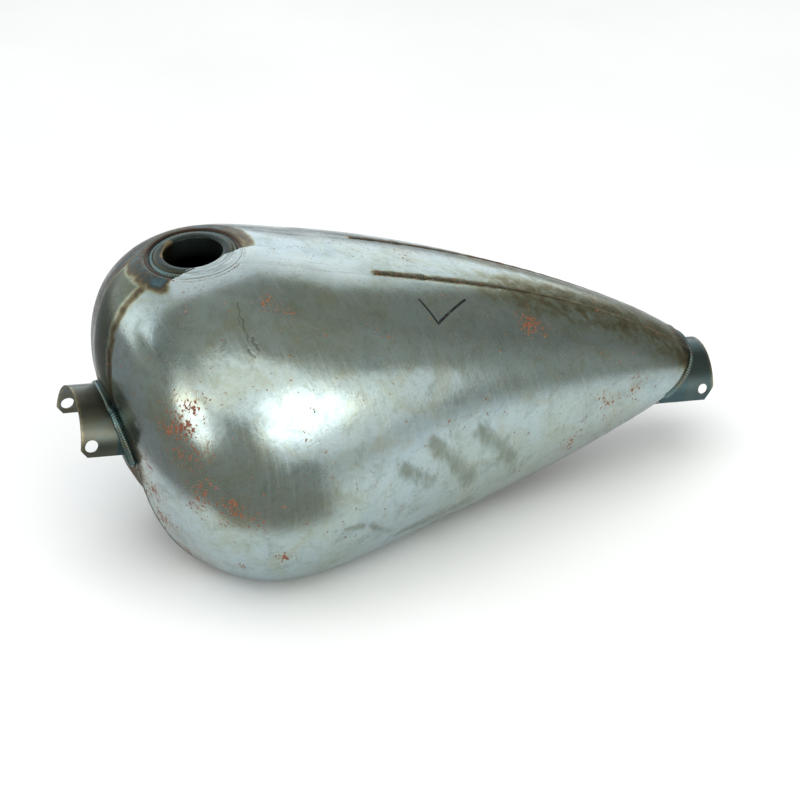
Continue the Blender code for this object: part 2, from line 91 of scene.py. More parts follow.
# The side shell's ribs, from the strip's edge down and in under the lobe, as in the CAD.
SHELL_LINES = (
    ((38, -27, 171), (40, -35, 164), (43, -41, 151), (46, -43, 136), (51, -45, 118)),
    ((32, -29, 199), (36, -61, 180), (48, -92, 154), (66, -74, 115), (62, -46, 52)),
    ((32, -20, 272), (35, -62, 259), (53, -169, 209), (85, -161, 52), (105, -61, -4)),
    ((113, -30, 317), (130, -127, 293), (144, -211, 206), (166, -189, -23), (175, -93, 0)),
    ((313, -40, 262), (321, -110, 248), (324, -175, 190), (325, -126, 15), (308, -52, -5)),
    ((477, -22, 201), (477, -70, 185), (475, -108, 128), (471, -72, 41), (463, -48, 26)),
    ((583, -25, 136), (581, -50, 132), (578, -61, 120), (573, -51, 81), (563, -46, 70)),
    ((611, -25, 112), (609, -34, 107), (602, -43, 95), (588, -46, 84), (573, -46, 77)),
)
FILLER_ALONG = 0.387  # where the nose strip hands over to the top strip


# ---------------------------------------------------------------- lines and surfaces


def to_row(points):
    """Construction millimetres as metres in the row's frame."""
    return (np.asarray(points, float) - (MIDDLE_X, 0.0, 0.0)) * MM


def unit(vectors):
    return vectors / np.linalg.norm(vectors, axis=-1, keepdims=True)


def smooth_step(value, low, high):
    t = np.clip((np.asarray(value, float) - low) / (high - low), 0.0, 1.0)
    return t * t * (3 - 2 * t)


def spline_weights(count, t):
    """Weights of a clamped, even, cubic B-spline's handles at each t from 0 to 1."""
    degree = 3
    inner = np.linspace(0, 1, count - degree + 1)
    knots = np.concatenate([np.zeros(degree), inner, np.ones(degree)])
    t = np.clip(np.atleast_1d(np.asarray(t, float)), 0, 1 - 1e-9)
    weights = [((a <= t) & (t < b)).astype(float) for a, b in zip(knots[:-1], knots[1:])]
    for order in range(1, degree + 1):
        raised = []
        for i in range(len(weights) - 1):
            left = knots[i + order] - knots[i]
            right = knots[i + order + 1] - knots[i + 1]
            value = np.zeros_like(t)
            if left > 0:
                value += (t - knots[i]) / left * weights[i]
            if right > 0:
                value += (knots[i + order + 1] - t) / right * weights[i + 1]
            raised.append(value)
        weights = raised
    return np.stack(weights, 1)


def ribs(along):
    """The rib at each place along the shell, from 0 at the nose to 1 at the tail."""
    lines = np.array(SHELL_LINES, float)
    return np.einsum("tn,nkc->tkc", spline_weights(len(lines), along), lines)


def on_rib(handles, down):
    """Points on the ribs; down, for each rib, runs from 0 at the strip to 1 under the lobe."""
    rounding = 1.5  # how softly the shell meets the floor that its ribs are kept above
    down = np.asarray(down, float)
    last = handles.shape[1] - 1
    weights = [math.comb(last, k) * down**k * (1 - down) ** (last - k) for k in range(last + 1)]
    points = np.einsum("ktd,tkc->tdc", np.array(weights), handles)
    height = points[..., 2]
    points[..., 2] = 0.5 * (height + np.sqrt(height**2 + rounding**2))
    return points


def seam_frame(along):
    """Points on the strip's edge, with the outward direction of the sheet there."""
    spread = 1e-3

    def edge(places):
        return on_rib(ribs(places), np.zeros((len(places), 1)))[:, 0]

    run = edge(np.minimum(along + spread, 1)) - edge(np.maximum(along - spread, 0))
    run[:, 1] = 0.0
    run = unit(run)
    return edge(along), np.stack([-run[:, 2], np.zeros(len(run)), run[:, 0]], 1)


def strip_grid(along, columns):
    """The crowned strip between the two side shells."""
    points, outward = seam_frame(along)
    grid = np.zeros((len(along), columns, 3))
    for j, across in enumerate(np.linspace(-1, 1, columns)):
        grid[:, j] = points + outward * STRIP_CROWN * (1 - across**2)
        grid[:, j, 1] = across * np.abs(points[:, 1])
    return grid


def tube_point(along, across, up):
    """A point given along the frame tube, sideways, and up from its centre line."""
    c, s = math.cos(TUBE_PITCH), math.sin(TUBE_PITCH)
    return np.array([along * c + up * s, across, TUBE_HEIGHT - along * s + up * c])


TUBE_FRONT = tube_point(0, 0, 0)
TUBE_ALONG = tube_point(1, 0, 0) - TUBE_FRONT
TUBE_UP = tube_point(0, 0, 1) - TUBE_FRONT


def along_tube(points):
    """Each point's place along the frame tube, and its distance from the tube's centre line."""
    place = (points - TUBE_FRONT) @ TUBE_ALONG
    away = points - TUBE_FRONT - place[..., None] * TUBE_ALONG
    return place, np.linalg.norm(away, axis=-1)


def tube_feet(points):
    """The point of the tube's centre line that is nearest to each point."""
    return TUBE_FRONT + ((points - TUBE_FRONT) @ TUBE_ALONG)[:, None] * TUBE_ALONG


def lengths_along(line):
    """How far along a line each of its points lies."""
    return np.concatenate([[0.0], np.cumsum(np.linalg.norm(np.diff(line, axis=0), axis=1))])


def arc_lengths(grid):
    """How far each point of a grid lies from its first row and from its first column."""
    run = np.linalg.norm(np.diff(grid, axis=0), axis=-1)
    down = np.linalg.norm(np.diff(grid, axis=1), axis=-1)
    run = np.concatenate([np.zeros((1, grid.shape[1])), np.cumsum(run, axis=0)])
    down = np.concatenate([np.zeros((grid.shape[0], 1)), np.cumsum(down, axis=1)], axis=1)
    return run, down


def even_steps(path, step):
    """The same path of (x, y, z, ...) rows, with its points the same distance apart."""
    run = lengths_along(path[:, :3])
    places = np.linspace(0, run[-1], int(run[-1] / step))
    return np.stack([np.interp(places, run, column) for column in path.T], 1)


def smoothed(values, times, ring=False):
    """Each value blended with its neighbours; the two ends stay, unless they meet in a ring."""
    ends = values[:1], values[-1:]
    for _ in range(times):
        values = (np.roll(values, 1, axis=0) + 2 * values + np.roll(values, -1, axis=0)) / 4
        if not ring:
            values[:1], values[-1:] = ends
    return values


def grid_normals(grid):
    return unit(np.cross(np.gradient(grid, axis=1), np.gradient(grid, axis=0)))


def waves(points, size, seed):
    """Smooth, seeded waves of height about 1 over points in millimetres."""
    count = 7
    draw = np.random.default_rng(seed)
    total = np.zeros(points.shape[:-1])
    for _ in range(count):
        heading = unit(draw.normal(size=3))
        length = size * draw.uniform(0.7, 1.5)
        total += np.sin(points @ heading * math.tau / length + draw.uniform(0, math.tau))
    return total / count**0.5


# ---------------------------------------------------------------- round the filler


def filler_reach(points):
    """Each point's distance from the filler's axis."""
    axis = np.array([-math.sin(FILLER_TILT), 0.0, math.cos(FILLER_TILT)])
    away = points - np.array(FILLER_CENTRE)
    away = away - (away @ axis)[..., None] * axis
    return np.linalg.norm(away, axis=-1)


def filler_turn(points):
    """Each point's angle round the filler, from the seat side."""
    return np.arctan2(points[..., 1], points[..., 0] - FILLER_CENTRE[0])


def filler_near(points):
    """1 on the near side of the filler, where its rings were ground flush with the sheet."""
    x, y = points[..., 0], points[..., 1]
    line = -34 + 0.24 * (x - 90) + 0.3 * np.maximum(x - 145, 0)
    line = np.minimum(line, -10) + 0.9 * np.sin(x / 5.5) + 0.5 * np.sin(x / 2.1)
    return smooth_step(line - y, -1.0, 2.0) * smooth_step(x, 82, 94)


def crown_height(points):
    """The height of the tank's top, without its swell, at each (x, y)."""
    along = np.linspace(0.2, 0.55, 90)
    left = on_rib(ribs(along), np.repeat(np.linspace(0, 0.3, 50)[None], len(along), 0))
    sheets = (left, strip_grid(along, 41), left * (1, -1, 1))
    cloud = np.concatenate([sheet.reshape(-1, 3) for sheet in sheets])
    found = []
    for x, y in points:
        away = np.hypot(cloud[:, 0] - x, cloud[:, 1] - y)
        near = np.argsort(away)[:12]
        weight = 1 / (away[near] + 0.05) ** 2
        found.append((cloud[near, 2] * weight).sum() / weight.sum())
    return np.array(found)


def rim_gaps():
    """The drop from the filler's rim to the sheets below it, at each angle round the filler."""
    angles = np.linspace(-math.pi, math.pi, 120, endpoint=False)
    x = FILLER_CENTRE[0] + DISH_WELD_RADIUS * np.cos(angles)
    y = DISH_WELD_RADIUS * np.sin(angles)
    plane = FILLER_CENTRE[2] + (x - FILLER_CENTRE[0]) * math.tan(FILLER_TILT)
    gap = plane - 0.9 - crown_height(np.stack([x, y], 1))
    return angles, smoothed(np.clip(gap, 0, 7), 6, ring=True)


RIM_GAPS = rim_gaps()


def swell(points):
    """How far the sheets rise round the filler to come flush with its rim."""
    ring = filler_reach(points)
    gap = np.interp(filler_turn(points), *RIM_GAPS, period=math.tau)
    fade = smooth_step(ring, 43.0, 47.5) * (1 - smooth_step(ring, 48, 125))
    return gap * fade * smooth_step(points[..., 2], 225, 255)


def lifted(points):
    """The same points with the swell round the filler added."""
    return points + swell(points)[..., None] * (0.0, 0.0, 1.0)


# ---------------------------------------------------------------- where the marks lie


# Spots of rust on the rider's left: (x, y, z), radius in millimetres, strength.
LEFT_RUST = (
    ((71, -113, 198), 17, 1.00),
    ((64, -104, 196), 13, 0.85),
    ((80, -112, 214), 20, 0.62),
    ((76, -122, 172), 21, 0.72),
    ((84, -128, 140), 20, 0.66),
    ((82, -124, 120), 16, 0.55),
    ((107, -145, 119), 22, 0.70),
    ((130, -148, 112), 16, 0.50),
    ((52, -68, 139), 15, 0.66),
    ((58, -62, 100), 16, 0.80),
    ((68, -58, 66), 17, 0.70),
    ((90, -62, 22), 18, 0.62),
    ((170, -78, 278), 13, 0.62),
    ((184, -84, 272), 9, 0.58),
    ((426, -64, 201), 13, 1.05),
    ((440, -66, 194), 10, 0.90),
    ((506, -72, 105), 14, 0.60),
    ((540, -64, 108), 12, 0.52),
    ((470, -80, 66), 16, 0.60),
    ((520, -66, 78), 14, 0.55),
    ((155, -147, 59), 7, 0.95),
    ((121, -127, 45), 5, 0.90),
)
RIGHT_RUST = (
    ((94, 120, 205), 20, 0.75),
    ((150, 148, 140), 26, 0.60),
    ((210, 120, 240), 14, 0.62),
    ((300, 132, 110), 24, 0.62),
    ((390, 80, 190), 16, 0.66),
    ((470, 84, 110), 18, 0.60),
    ((540, 62, 120), 14, 0.66),
    ((70, 60, 66), 18, 0.70),
    ((236, 140, 50), 18, 0.60),
)
# Hand marks of grease, and on the rider's left the smears over the shallow dents, which paint the
# shade of their darkened reflection: each is a smear from one (x, y, z) to another, radius,
# strength.
LEFT_SMEARS_AND_DENT_SHADE = (
    ((272, -140, 122), (300, -131, 96), 13, 0.88),
    ((304, -132, 138), (324, -126, 112), 15, 0.86),
    ((318, -128, 120), (348, -112, 79), 16, 0.80),
    ((353, -119, 132), (381, -108, 103), 15, 0.86),
    ((374, -111, 112), (406, -91, 65), 16, 0.76),
    ((278, -116, 37), (357, -92, 39), 12, 0.75),
    ((213, -147, 76), (240, -140, 70), 6, 0.75),
    ((238, -140, 70), (268, -122, 45), 6, 0.75),
)
RIGHT_SMEARS = (
    ((262, 138, 116), (240, 136, 70), 10, 0.90),
    ((300, 126, 150), (286, 132, 96), 9, 0.80),
    ((190, 140, 90), (216, 138, 60), 9, 0.60),
)
# Shallow dents and creases: (x, y, z), radius along, radius up and down, depth.
LEFT_DENTS = (
    ((290, -134, 106), 12, 8, 0.55),
    ((320, -127, 124), 11, 10, 0.60),
    ((370, -112, 116), 11, 11, 0.60),
    ((141, -92, 270), 2.6, 26, 0.35),
    ((149, -100, 262), 5, 4, 0.35),
)
RIGHT_DENTS = (
    ((260, 138, 112), 14, 9, 0.5),
    ((330, 118, 150), 10, 14, 0.5),
)
STRIP_RUST = (((330, 10, 262), 26, 0.35), ((520, -8, 176), 18, 0.45))
# Lines on the left shell, seen from above: two (x, y) and a radius, in millimetres.
TICK = (((316, -64), (327, -84), 1.0), ((327, -84), (364, -56), 1.0))
# A painted shadow: a dark line for the shadowed gap under the filler's proud near edge, along the
# step where it was ground flush.
GAP_SHADOW_LINE = ((93.0, -33.5), (116.0, -28.6), 0.8)
CREASES = (
    ((140.0, -74), (141.2, -102), 0.8),
    ((137.0, -84), (137.4, -92), 0.5),
    ((145.5, -101), (147.5, -106), 1.6),
    ((139.5, -107), (141.5, -110), 1.3),
)
FILLER_GLINT_STREAK = ((98, 6), (109, 25), 3.6)  # a tan highlight painted as a streak on the filler's rings


def spots(points, places):
    """The strongest of several soft spots at each point."""
    found = np.zeros(points.shape[:-1])
    for centre, *radii, strength in places:
        along, up = radii if len(radii) == 2 else (radii[0], radii[0])
        away = points - np.array(centre, float)
        far = np.hypot(away[..., 0] / along, np.hypot(away[..., 1], away[..., 2]) / up)
        found = np.maximum(found, strength * np.exp(-(far**2)))
    return found


def smears(points, places):
    """The strongest of several smears at each point: each widens and fades from start to end."""
    found = np.zeros(points.shape[:-1])
    for start, end, radius, strength in places:
        start, end = np.array(start, float), np.array(end, float)
        run = end - start
        share = np.clip(((points - start) @ run) / (run @ run), 0, 1)
        far = np.linalg.norm(points - start - share[..., None] * run, axis=-1)
        wide = radius * (0.65 + 0.35 * share)
        fade = 1 - 0.22 * share
        found = np.maximum(found, strength * fade * np.exp(-((far / wide) ** 2)))
    return found


def seam_heat(along):
    """How strongly the seam's weld has coloured the steel, from the nose to the tail."""
    nose = 0.55 * (1 - smooth_step(along, 0.30, 0.37))
    rear = 0.72 * smooth_step(along, 0.565, 0.58) * (1 - 0.6 * smooth_step(along, 0.68, 0.95))
    return nose + rear


def heat_field(points, seam, along):
    """Heat tint of a sheet's surface: the hottest of the welds near each point.

    seam is the distance from the strip's edge in millimetres, along the place from nose to tail.
    """
    near_seam = seam_heat(along) * np.exp(-((seam / (4.5 + 1.5 * (along < 0.35))) ** 2))
    beside = 0.38 * smooth_step(along, 0.6, 0.75) * np.exp(-((seam / 36) ** 2))
    ring = np.maximum(filler_reach(points) - DISH_WELD_RADIUS, 0)
    front = np.clip(0.5 - (points[..., 0] - FILLER_CENTRE[0]) / 90, 0, 1)
    far = np.clip(0.5 + points[..., 1] / 60, 0, 1)
    hotter = np.maximum(front, 0.9 * far)
    halo = (0.30 + 0.50 * hotter) * np.exp(-((ring / (6 + 7 * hotter)) ** 4))
    tail = spots(points, (((182, -6, 306), 15, 4.5, 0.62),))
    near_filler = np.maximum(halo * (1 - filler_near(points)), tail)
    place, away = along_tube(points)
    off = np.maximum(away - SADDLE_RADIUS, 0)
    near_front = 0.95 * np.exp(-((off / 15) ** 2)) * (place < 90)
    near_rear = 0.8 * np.exp(-(((611 - points[..., 0]) / 14) ** 2))
    found = np.maximum.reduce([near_seam, beside, near_filler, near_front, near_rear])
    return np.clip(found, 0, 1)


def ground_field(points, seam):
    """Where the weld was ground back and the steel polished."""
    x = points[..., 0]
    long = smooth_step(x, 96, 150) * (1 - smooth_step(x, 250, 292))
    wide = np.exp(-((seam / 17) ** 4))
    ring = filler_reach(points) - DISH_WELD_RADIUS
    round_filler = np.exp(-((np.maximum(ring, 0) / 17) ** 2)) * filler_near(points)
    return np.clip(np.maximum(long * wide, round_filler), 0, 1)


# ---------------------------------------------------------------- meshes


def grid_faces(rows, columns, flip, wrap):
    faces = []
    for i in range(rows - 1):
        for j in range(columns if wrap else columns - 1):
            k = (j + 1) % columns
            here, below = i * columns, (i + 1) * columns
            quad = (here + j, here + k, below + k, below + j)
            faces.append(quad[::-1] if flip else quad)
    return faces


def store(mesh, values):
    """Keeps one number per vertex under each name, for the materials to read."""
    for name, numbers in values.items():
        layer = mesh.attributes.new(name, "FLOAT", "POINT")
        layer.data.foreach_set("value", np.asarray(numbers, np.float32).reshape(-1))


def grid_mesh(name, grid, flip, values, wrap=False, caps=False):
    """A mesh over a grid of points, its columns joined round and its end rows capped if asked."""
    rows, columns = grid.shape[:2]
    faces = grid_faces(rows, columns, flip, wrap)
    if caps:
        first = tuple(range(columns))
        last = tuple((rows - 1) * columns + j for j in range(columns))
        faces += [first if flip else first[::-1], last[::-1] if flip else last]
    mesh = bpy.data.meshes.new(name)
    mesh.from_pydata(to_row(grid).reshape(-1, 3).tolist(), [], faces)
    mesh.update()
    store(mesh, values)
    return mesh


def add_piece(name, mesh, material, node, sharp=35):
    """Puts a finished mesh into the scene in place of a CAD node."""
    mesh.materials.append(material)
    mesh.shade_smooth()
    mesh.set_sharp_from_angle(angle=math.radians(sharp))
    piece = bpy.data.objects.new(name, mesh)
    bpy.context.scene.collection.objects.link(piece)
    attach(piece, "root")
    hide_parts(node)
    return piece


def thicken(piece, thickness):
    """Gives a sheet its thickness, inward from the surface that was drawn."""
    solidify = piece.modifiers.new("thickness", "SOLIDIFY")
    solidify.thickness = thickness * MM
    solidify.offset = -1.0
    solidify.thickness_clamp = 1.0


def face_out(mesh, merge=False):
    """Turns every face outward, after closing the seam of a ring whose ends meet if asked."""
    made = bmesh.new()
    made.from_mesh(mesh)
    if merge:
        bmesh.ops.remove_doubles(made, verts=made.verts, dist=1e-7)
    bmesh.ops.recalc_face_normals(made, faces=made.faces)
    made.to_mesh(mesh)
    made.free()
    return mesh


def ring_mesh(name, grid):
    """A closed ring from a grid whose rows go once round, and its vertices in millimetres."""
    mesh = grid_mesh(name, np.concatenate([grid, grid[:1]]), False, {}, wrap=True)
    face_out(mesh, merge=True)
    return mesh, np.array([vertex.co for vertex in mesh.vertices]) / MM + (MIDDLE_X, 0, 0)


def rounded(profile, times=2):
    """A closed profile with its corners cut again and again, until they are round."""
    points = np.array(profile, float)
    for _ in range(times):
        after = np.roll(points, -1, axis=0)
        points = np.stack([0.8 * points + 0.2 * after, 0.2 * points + 0.8 * after], 1)
        points = points.reshape(-1, 2)
    return points


def turned(name, profile, matrix, steps=160, wobble=None):
    """A ring turned from (radius, height) points round a matrix's Z axis."""
    angles = np.linspace(0, math.tau, steps, endpoint=False)[:, None]
    radius, height = (np.repeat(column[None], steps, 0) for column in profile.T)
    if wobble is not None:
        radius, height = wobble(radius, height, angles)
    local = np.stack([radius * np.cos(angles), radius * np.sin(angles), height], -1)
    rotation, centre = np.array(matrix.to_3x3()), np.array(matrix.translation)
    mesh, places = ring_mesh(name, local @ rotation.T + centre)
    reach = np.hypot(*((places - centre) @ rotation)[:, :2].T)
    run = filler_turn(places) * DISH_RADIUS * MM
    store(mesh, {"reach": reach, "ground": filler_near(places), "run": run, "down": reach * MM})
    return mesh


def bead_mesh(name, spine, side, outward, half, height, ripple, scorch):
    """A weld bead laid on a seam: a low rippled dome, and a root below the sheets.

    height is per point; ripple is the ripples' spacing in millimetres.
    """
    steps = lengths_along(spine)
    columns = []
    for t in np.linspace(-1, 1, 13):
        wave = np.cos((steps + 0.75 * ripple * t * t) * math.tau / ripple)
        lift = height * (1 - t * t) ** 0.7 * (1 + 0.28 * wave) - 0.12 * (abs(t) > 0.99)
        columns.append(spine + side * t * half + outward * lift[:, None])
    columns += [spine + side * t * half - outward * 1.2 for t in (0.7, -0.7)]
    grid = np.stack(columns, 1)
    values = {"scorch": np.full(grid.shape[:2], scorch)}
    return face_out(grid_mesh(name, grid, False, values, wrap=True, caps=True))


# ---------------------------------------------------------------- materials


COOL_STEEL = (0.430, 0.530, 0.550)
WARM_STEEL = (0.415, 0.490, 0.455)
DARK_STEEL = (0.25, 0.305, 0.268)
BRIGHT_STEEL = (0.56, 0.64, 0.64)
GROUND_STEEL = (0.36, 0.42, 0.41)
NOSE_COOL = (0.115, 0.128, 0.092)
NOSE_WARM = (0.098, 0.118, 0.098)
OLIVE_STAIN = (0.36, 0.385, 0.27)
BLUE_STAIN = (0.36, 0.48, 0.52)
# Grease, and the painted shade laid over the left dents where their reflection darkens.
GREASE_AND_DENT_SHADE = (0.155, 0.18, 0.125)
RUST_STAIN = (0.31, 0.255, 0.16)
# Painted shadow colour for the gap at the filler's near edge.
GAP_SHADOW = (0.035, 0.032, 0.022)
PEN_LINE = (0.030, 0.036, 0.042)
# Painted shade for the inside of the creases.
CREASE_SHADE = (0.09, 0.10, 0.09)
RUST = ((0.25, (0.085, 0.030, 0.018)), (0.5, (0.19, 0.066, 0.032)), (0.75, (0.26, 0.105, 0.05)))
# Heat tint, from the bare steel's first straw to the bead's grey-blue.
HEAT = (
    (0.00, (0.42, 0.49, 0.45)),
    (0.22, (0.33, 0.36, 0.26)),
    (0.42, (0.20, 0.19, 0.12)),
    (0.58, (0.11, 0.085, 0.05)),
    (0.74, (0.065, 0.07, 0.065)),
    (0.88, (0.07, 0.12, 0.13)),
    (1.00, (0.13, 0.19, 0.20)),
)
# The filler's rings, from inside its mouth out to the dish's rim.
RING_TINTS = (
    (0.00, (0.030, 0.040, 0.036)),
    (0.32, (0.036, 0.050, 0.046)),
    (0.44, (0.052, 0.064, 0.052)),
    (0.54, (0.080, 0.070, 0.040)),
    (0.63, (0.026, 0.040, 0.040)),
    (0.80, (0.034, 0.058, 0.058)),
    (0.91, (0.062, 0.036, 0.024)),
    (1.00, (0.048, 0.034, 0.024)),
)


class Tree:
    """Shader nodes, built a step at a time. Sockets and numbers may be mixed freely."""

    def __init__(self, tree):
        self.tree = tree

    def add(self, kind, inputs=(), **settings):
        made = self.tree.nodes.new(kind)
        for key, value in settings.items():
            setattr(made, key, value)
        for key, value in dict(inputs).items():
            self.put(made.inputs[key], value)
        return made

    def put(self, socket, value):
        if isinstance(value, bpy.types.NodeSocket):
            self.tree.links.new(value, socket)
        else:
            socket.default_value = value

    def place(self):
        return self.add("ShaderNodeTexCoord").outputs["Object"]

    def stored(self, name):
        return self.add("ShaderNodeAttribute", attribute_name=name).outputs["Fac"]

    def surface(self, along, down, detail=4.0, rough=0.62, twist=0.0):
        """Noise laid on the sheet itself, so fine along its length and down its side."""
        place = self.joined(self.stored("run"), self.stored("down"))
        return self.noise(self.stretched(place, (along, down, 1.0)), 1.0, detail, rough, twist)

    def vector(self, operation, a, b, out="Vector"):
        node = self.add("ShaderNodeVectorMath", {0: a}, operation=operation)
        self.put(node.inputs["Scale" if operation == "SCALE" else 1], b)
        return node.outputs[out]

    def stretched(self, vector, factors):
        return self.vector("MULTIPLY", vector, factors)

    def joined(self, x, y):
        return self.add("ShaderNodeCombineXYZ", {0: x, 1: y}).outputs[0]

    def noise(self, vector, scale, detail=4.0, rough=0.55, twist=0.0):
        inputs = {"Vector": vector, "Scale": scale, "Detail": detail}
        inputs |= {"Roughness": rough, "Distortion": twist}
        return self.add("ShaderNodeTexNoise", inputs).outputs["Fac"]

    def calc(self, operation, a, b=0.0, c=0.0, clamp=False):
        inputs = {0: a, 1: b, 2: c}
        return self.add("ShaderNodeMath", inputs, operation=operation, use_clamp=clamp).outputs[0]

    def times(self, a, b):
        return self.calc("MULTIPLY", a, b)

    def plus(self, a, b):
        return self.calc("ADD", a, b)

    def minus(self, a, b):
        return self.calc("SUBTRACT", a, b)

    def times_plus(self, a, b, c):
        """a times b, plus c."""
        return self.calc("MULTIPLY_ADD", a, b, c)

    def wander(self, value, size, middle):
        """The middle value, moved up or down by a noise's distance from its mean."""
        return self.times_plus(self.minus(value, 0.5), size, middle)

    def span(self, value, low, high, start=0.0, end=1.0):
        inputs = {"Value": value, "From Min": low, "From Max": high, "To Min": start, "To Max": end}
        return self.add("ShaderNodeMapRange", inputs, interpolation_type="SMOOTHSTEP").outputs[0]

    def mix(self, share, a, b):
        return self.add("ShaderNodeMix", {0: share, 2: a, 3: b}).outputs[0]

    def blend(self, share, a, b):
        node = self.add("ShaderNodeMix", data_type="RGBA")
        self.put(node.inputs[0], share)
        for socket, value in ((node.inputs[6], a), (node.inputs[7], b)):
            self.put(socket, (*value, 1.0) if isinstance(value, tuple) else value)
        return node.outputs[2]

    def ramp(self, share, stops):
        node = self.add("ShaderNodeValToRGB", {"Fac": share})
        line = node.color_ramp.elements
        while len(line) < len(stops):
            line.new(0.5)
        for element, (place, colour) in zip(line, stops):
            element.position = place
            element.color = (*colour, 1.0)
        return node.outputs["Color"]

    def stroke(self, place, start, end, radius):
        """A mask of a line on the sheet, seen from above: two (x, y) in millimetres."""
        first, last = (to_row((*spot, 0.0)) for spot in (start, end))
        run = (last - first).tolist()
        flat = self.stretched(self.vector("SUBTRACT", place, first.tolist()), (1.0, 1.0, 0.0))
        along = self.vector("DOT_PRODUCT", flat, run, out="Value")
        share = self.calc("DIVIDE", along, run[0] ** 2 + run[1] ** 2, clamp=True)
        far = self.vector("DISTANCE", flat, self.vector("SCALE", run, share), out="Value")
        return self.span(far, radius * 0.7 * MM, radius * 1.3 * MM, 1.0, 0.0)

    def bump(self, height, distance, strength=0.6, under=None):
        inputs = {"Height": height, "Distance": distance, "Strength": strength}
        if under is not None:
            inputs["Normal"] = under
        return self.add("ShaderNodeBump", inputs).outputs["Normal"]


class Skin(Tree):
    """A material's nodes, which end in its Principled BSDF."""

    def __init__(self, name):
        self.material = bpy.data.materials.new(name)
        self.material.use_nodes = True
        super().__init__(self.material.node_tree)
        self.shader = self.tree.nodes["Principled BSDF"]

    def finish(self, **sockets):
        for key, value in sockets.items():
            value = (*value, 1.0) if isinstance(value, tuple) else value
            self.put(self.shader.inputs[key.replace("_", " ")], value)
        return self.material


def steel(name, cool, warm, roughness, seed, marks=False, tarnish=0.0):
    """Bare sheet: mottled, scratched, heat tinted, ground, grease-smeared, with shade painted over
    the left dents, and rusty where the mesh says.
    """
    t = Skin(name)
    place = t.vector("ADD", t.place(), (seed, 0.0, 0.0))
    mottle = t.noise(place, 42.0, 5.0, 0.65, 0.6)
    grain = t.noise(place, 420.0, 3.0, 0.6)
    ground = t.stored("ground")
    brushed = t.mix(
        ground, t.surface(260.0, 15.0, twist=0.35), t.surface(22.0, 520.0, twist=0.25)
    )
    bare = t.blend(t.span(t.noise(place, 7.0, 3.0, 0.6), 0.36, 0.66), cool, warm)
    colour = sheet_colour(t, place, bare, mottle, brushed, ground)
    if tarnish:
        dull = t.times(t.span(mottle, 0.3, 0.7, tarnish, 1.0), t.minus(1.0, ground))
        colour = t.blend(dull, colour, bare)

    heat = t.stored("scorch")
    drift = t.times(t.minus(t.noise(place, 75.0, 4.0, 0.6, 0.5), 0.5), 0.9)
    hotter = t.times_plus(drift, t.span(heat, 0.04, 0.4), heat)
    colour = t.blend(t.span(hotter, 0.08, 0.36), colour, t.ramp(hotter, HEAT))

    # Grease smudges, and painted shade over the left dents: the steel darker and duller there.
    smear = t.surface(70.0, 30.0, 5.0, twist=0.8)
    dirty_and_dent_shaded = t.span(t.times_plus(smear, 1.3, t.stored("grime_and_dent_shade")), 0.86, 1.52)
    colour = t.blend(t.times(dirty_and_dent_shaded, 0.70), colour, GREASE_AND_DENT_SHADE)
    colour, eaten = rusted(t, place, colour, grain)
    # Painted shadow: the dark gap line at the filler's near edge.
    colour = t.blend(t.stroke(place, *GAP_SHADOW_LINE), colour, GAP_SHADOW)

    hairs = t.surface(900.0, 26.0, 2.0, 0.5, 0.5)
    height = t.times_plus(brushed, 0.8, t.times(grain, 0.16))
    height = t.times_plus(t.span(hairs, 0.62, 0.74), 0.14, height)
    if marks:
        colour, height = marked(t, place, colour, height, grain)

    rough = t.span(mottle, 0.3, 0.75, roughness - 0.04, roughness + 0.08)
    rough = t.wander(brushed, 0.16, rough)
    rough = t.times_plus(dirty_and_dent_shaded, 0.10, rough)
    rough = t.times_plus(t.span(hotter, 0.2, 0.6), 0.10, rough)
    rough = t.times_plus(eaten, 0.42, rough)
    metal = t.times_plus(eaten, -0.95, 1.0)
    normal = t.bump(mottle, 0.0006, 0.35)
    normal = t.bump(height, 0.00008, under=normal)
    normal = t.bump(eaten, 0.00012, under=normal)
    return t.finish(Base_Color=colour, Roughness=rough, Metallic=metal, Normal=normal)


def sheet_colour(t, place, colour, mottle, brushed, ground):
    """Bare steel with its mottles, olive and blue stains, brushing and polish."""
    fine = t.noise(place, 135.0, 3.0, 0.6)
    stained = t.noise(place, 21.0, 5.0, 0.68, 1.2)
    for share, paint in (
        (t.span(mottle, 0.44, 0.78, 0.0, 0.65), DARK_STEEL),
        (t.span(fine, 0.50, 0.70, 0.0, 0.30), DARK_STEEL),
        (t.span(stained, 0.48, 0.70, 0.0, 0.50), OLIVE_STAIN),
        (t.span(stained, 0.30, 0.46, 0.45, 0.0), BLUE_STAIN),
        (t.span(brushed, 0.52, 0.80, 0.0, 0.40), BRIGHT_STEEL),
        (t.times(ground, 0.80), BRIGHT_STEEL),
    ):
        colour = t.blend(share, colour, paint)
    return colour


def rusted(t, place, colour, grain):
    """The colour with rust specks in brown stains, and a mask of the specks."""
    field = t.stored("rust")
    specks = t.noise(t.stretched(place, (1.25, 1.25, 0.85)), 330.0, 2.5, 0.5, 0.5)
    clumps = t.noise(place, 85.0, 3.0, 0.6, 0.5)
    rusty = t.plus(specks, t.times_plus(clumps, 0.42, t.times(field, 0.26)))
    eaten = t.span(rusty, 0.925, 0.965)
    stain = t.plus(t.span(rusty, 0.76, 0.95, 0.0, 0.30), t.times(field, 0.30))
    colour = t.blend(stain, colour, RUST_STAIN)
    return t.blend(eaten, colour, t.ramp(grain, RUST)), eaten


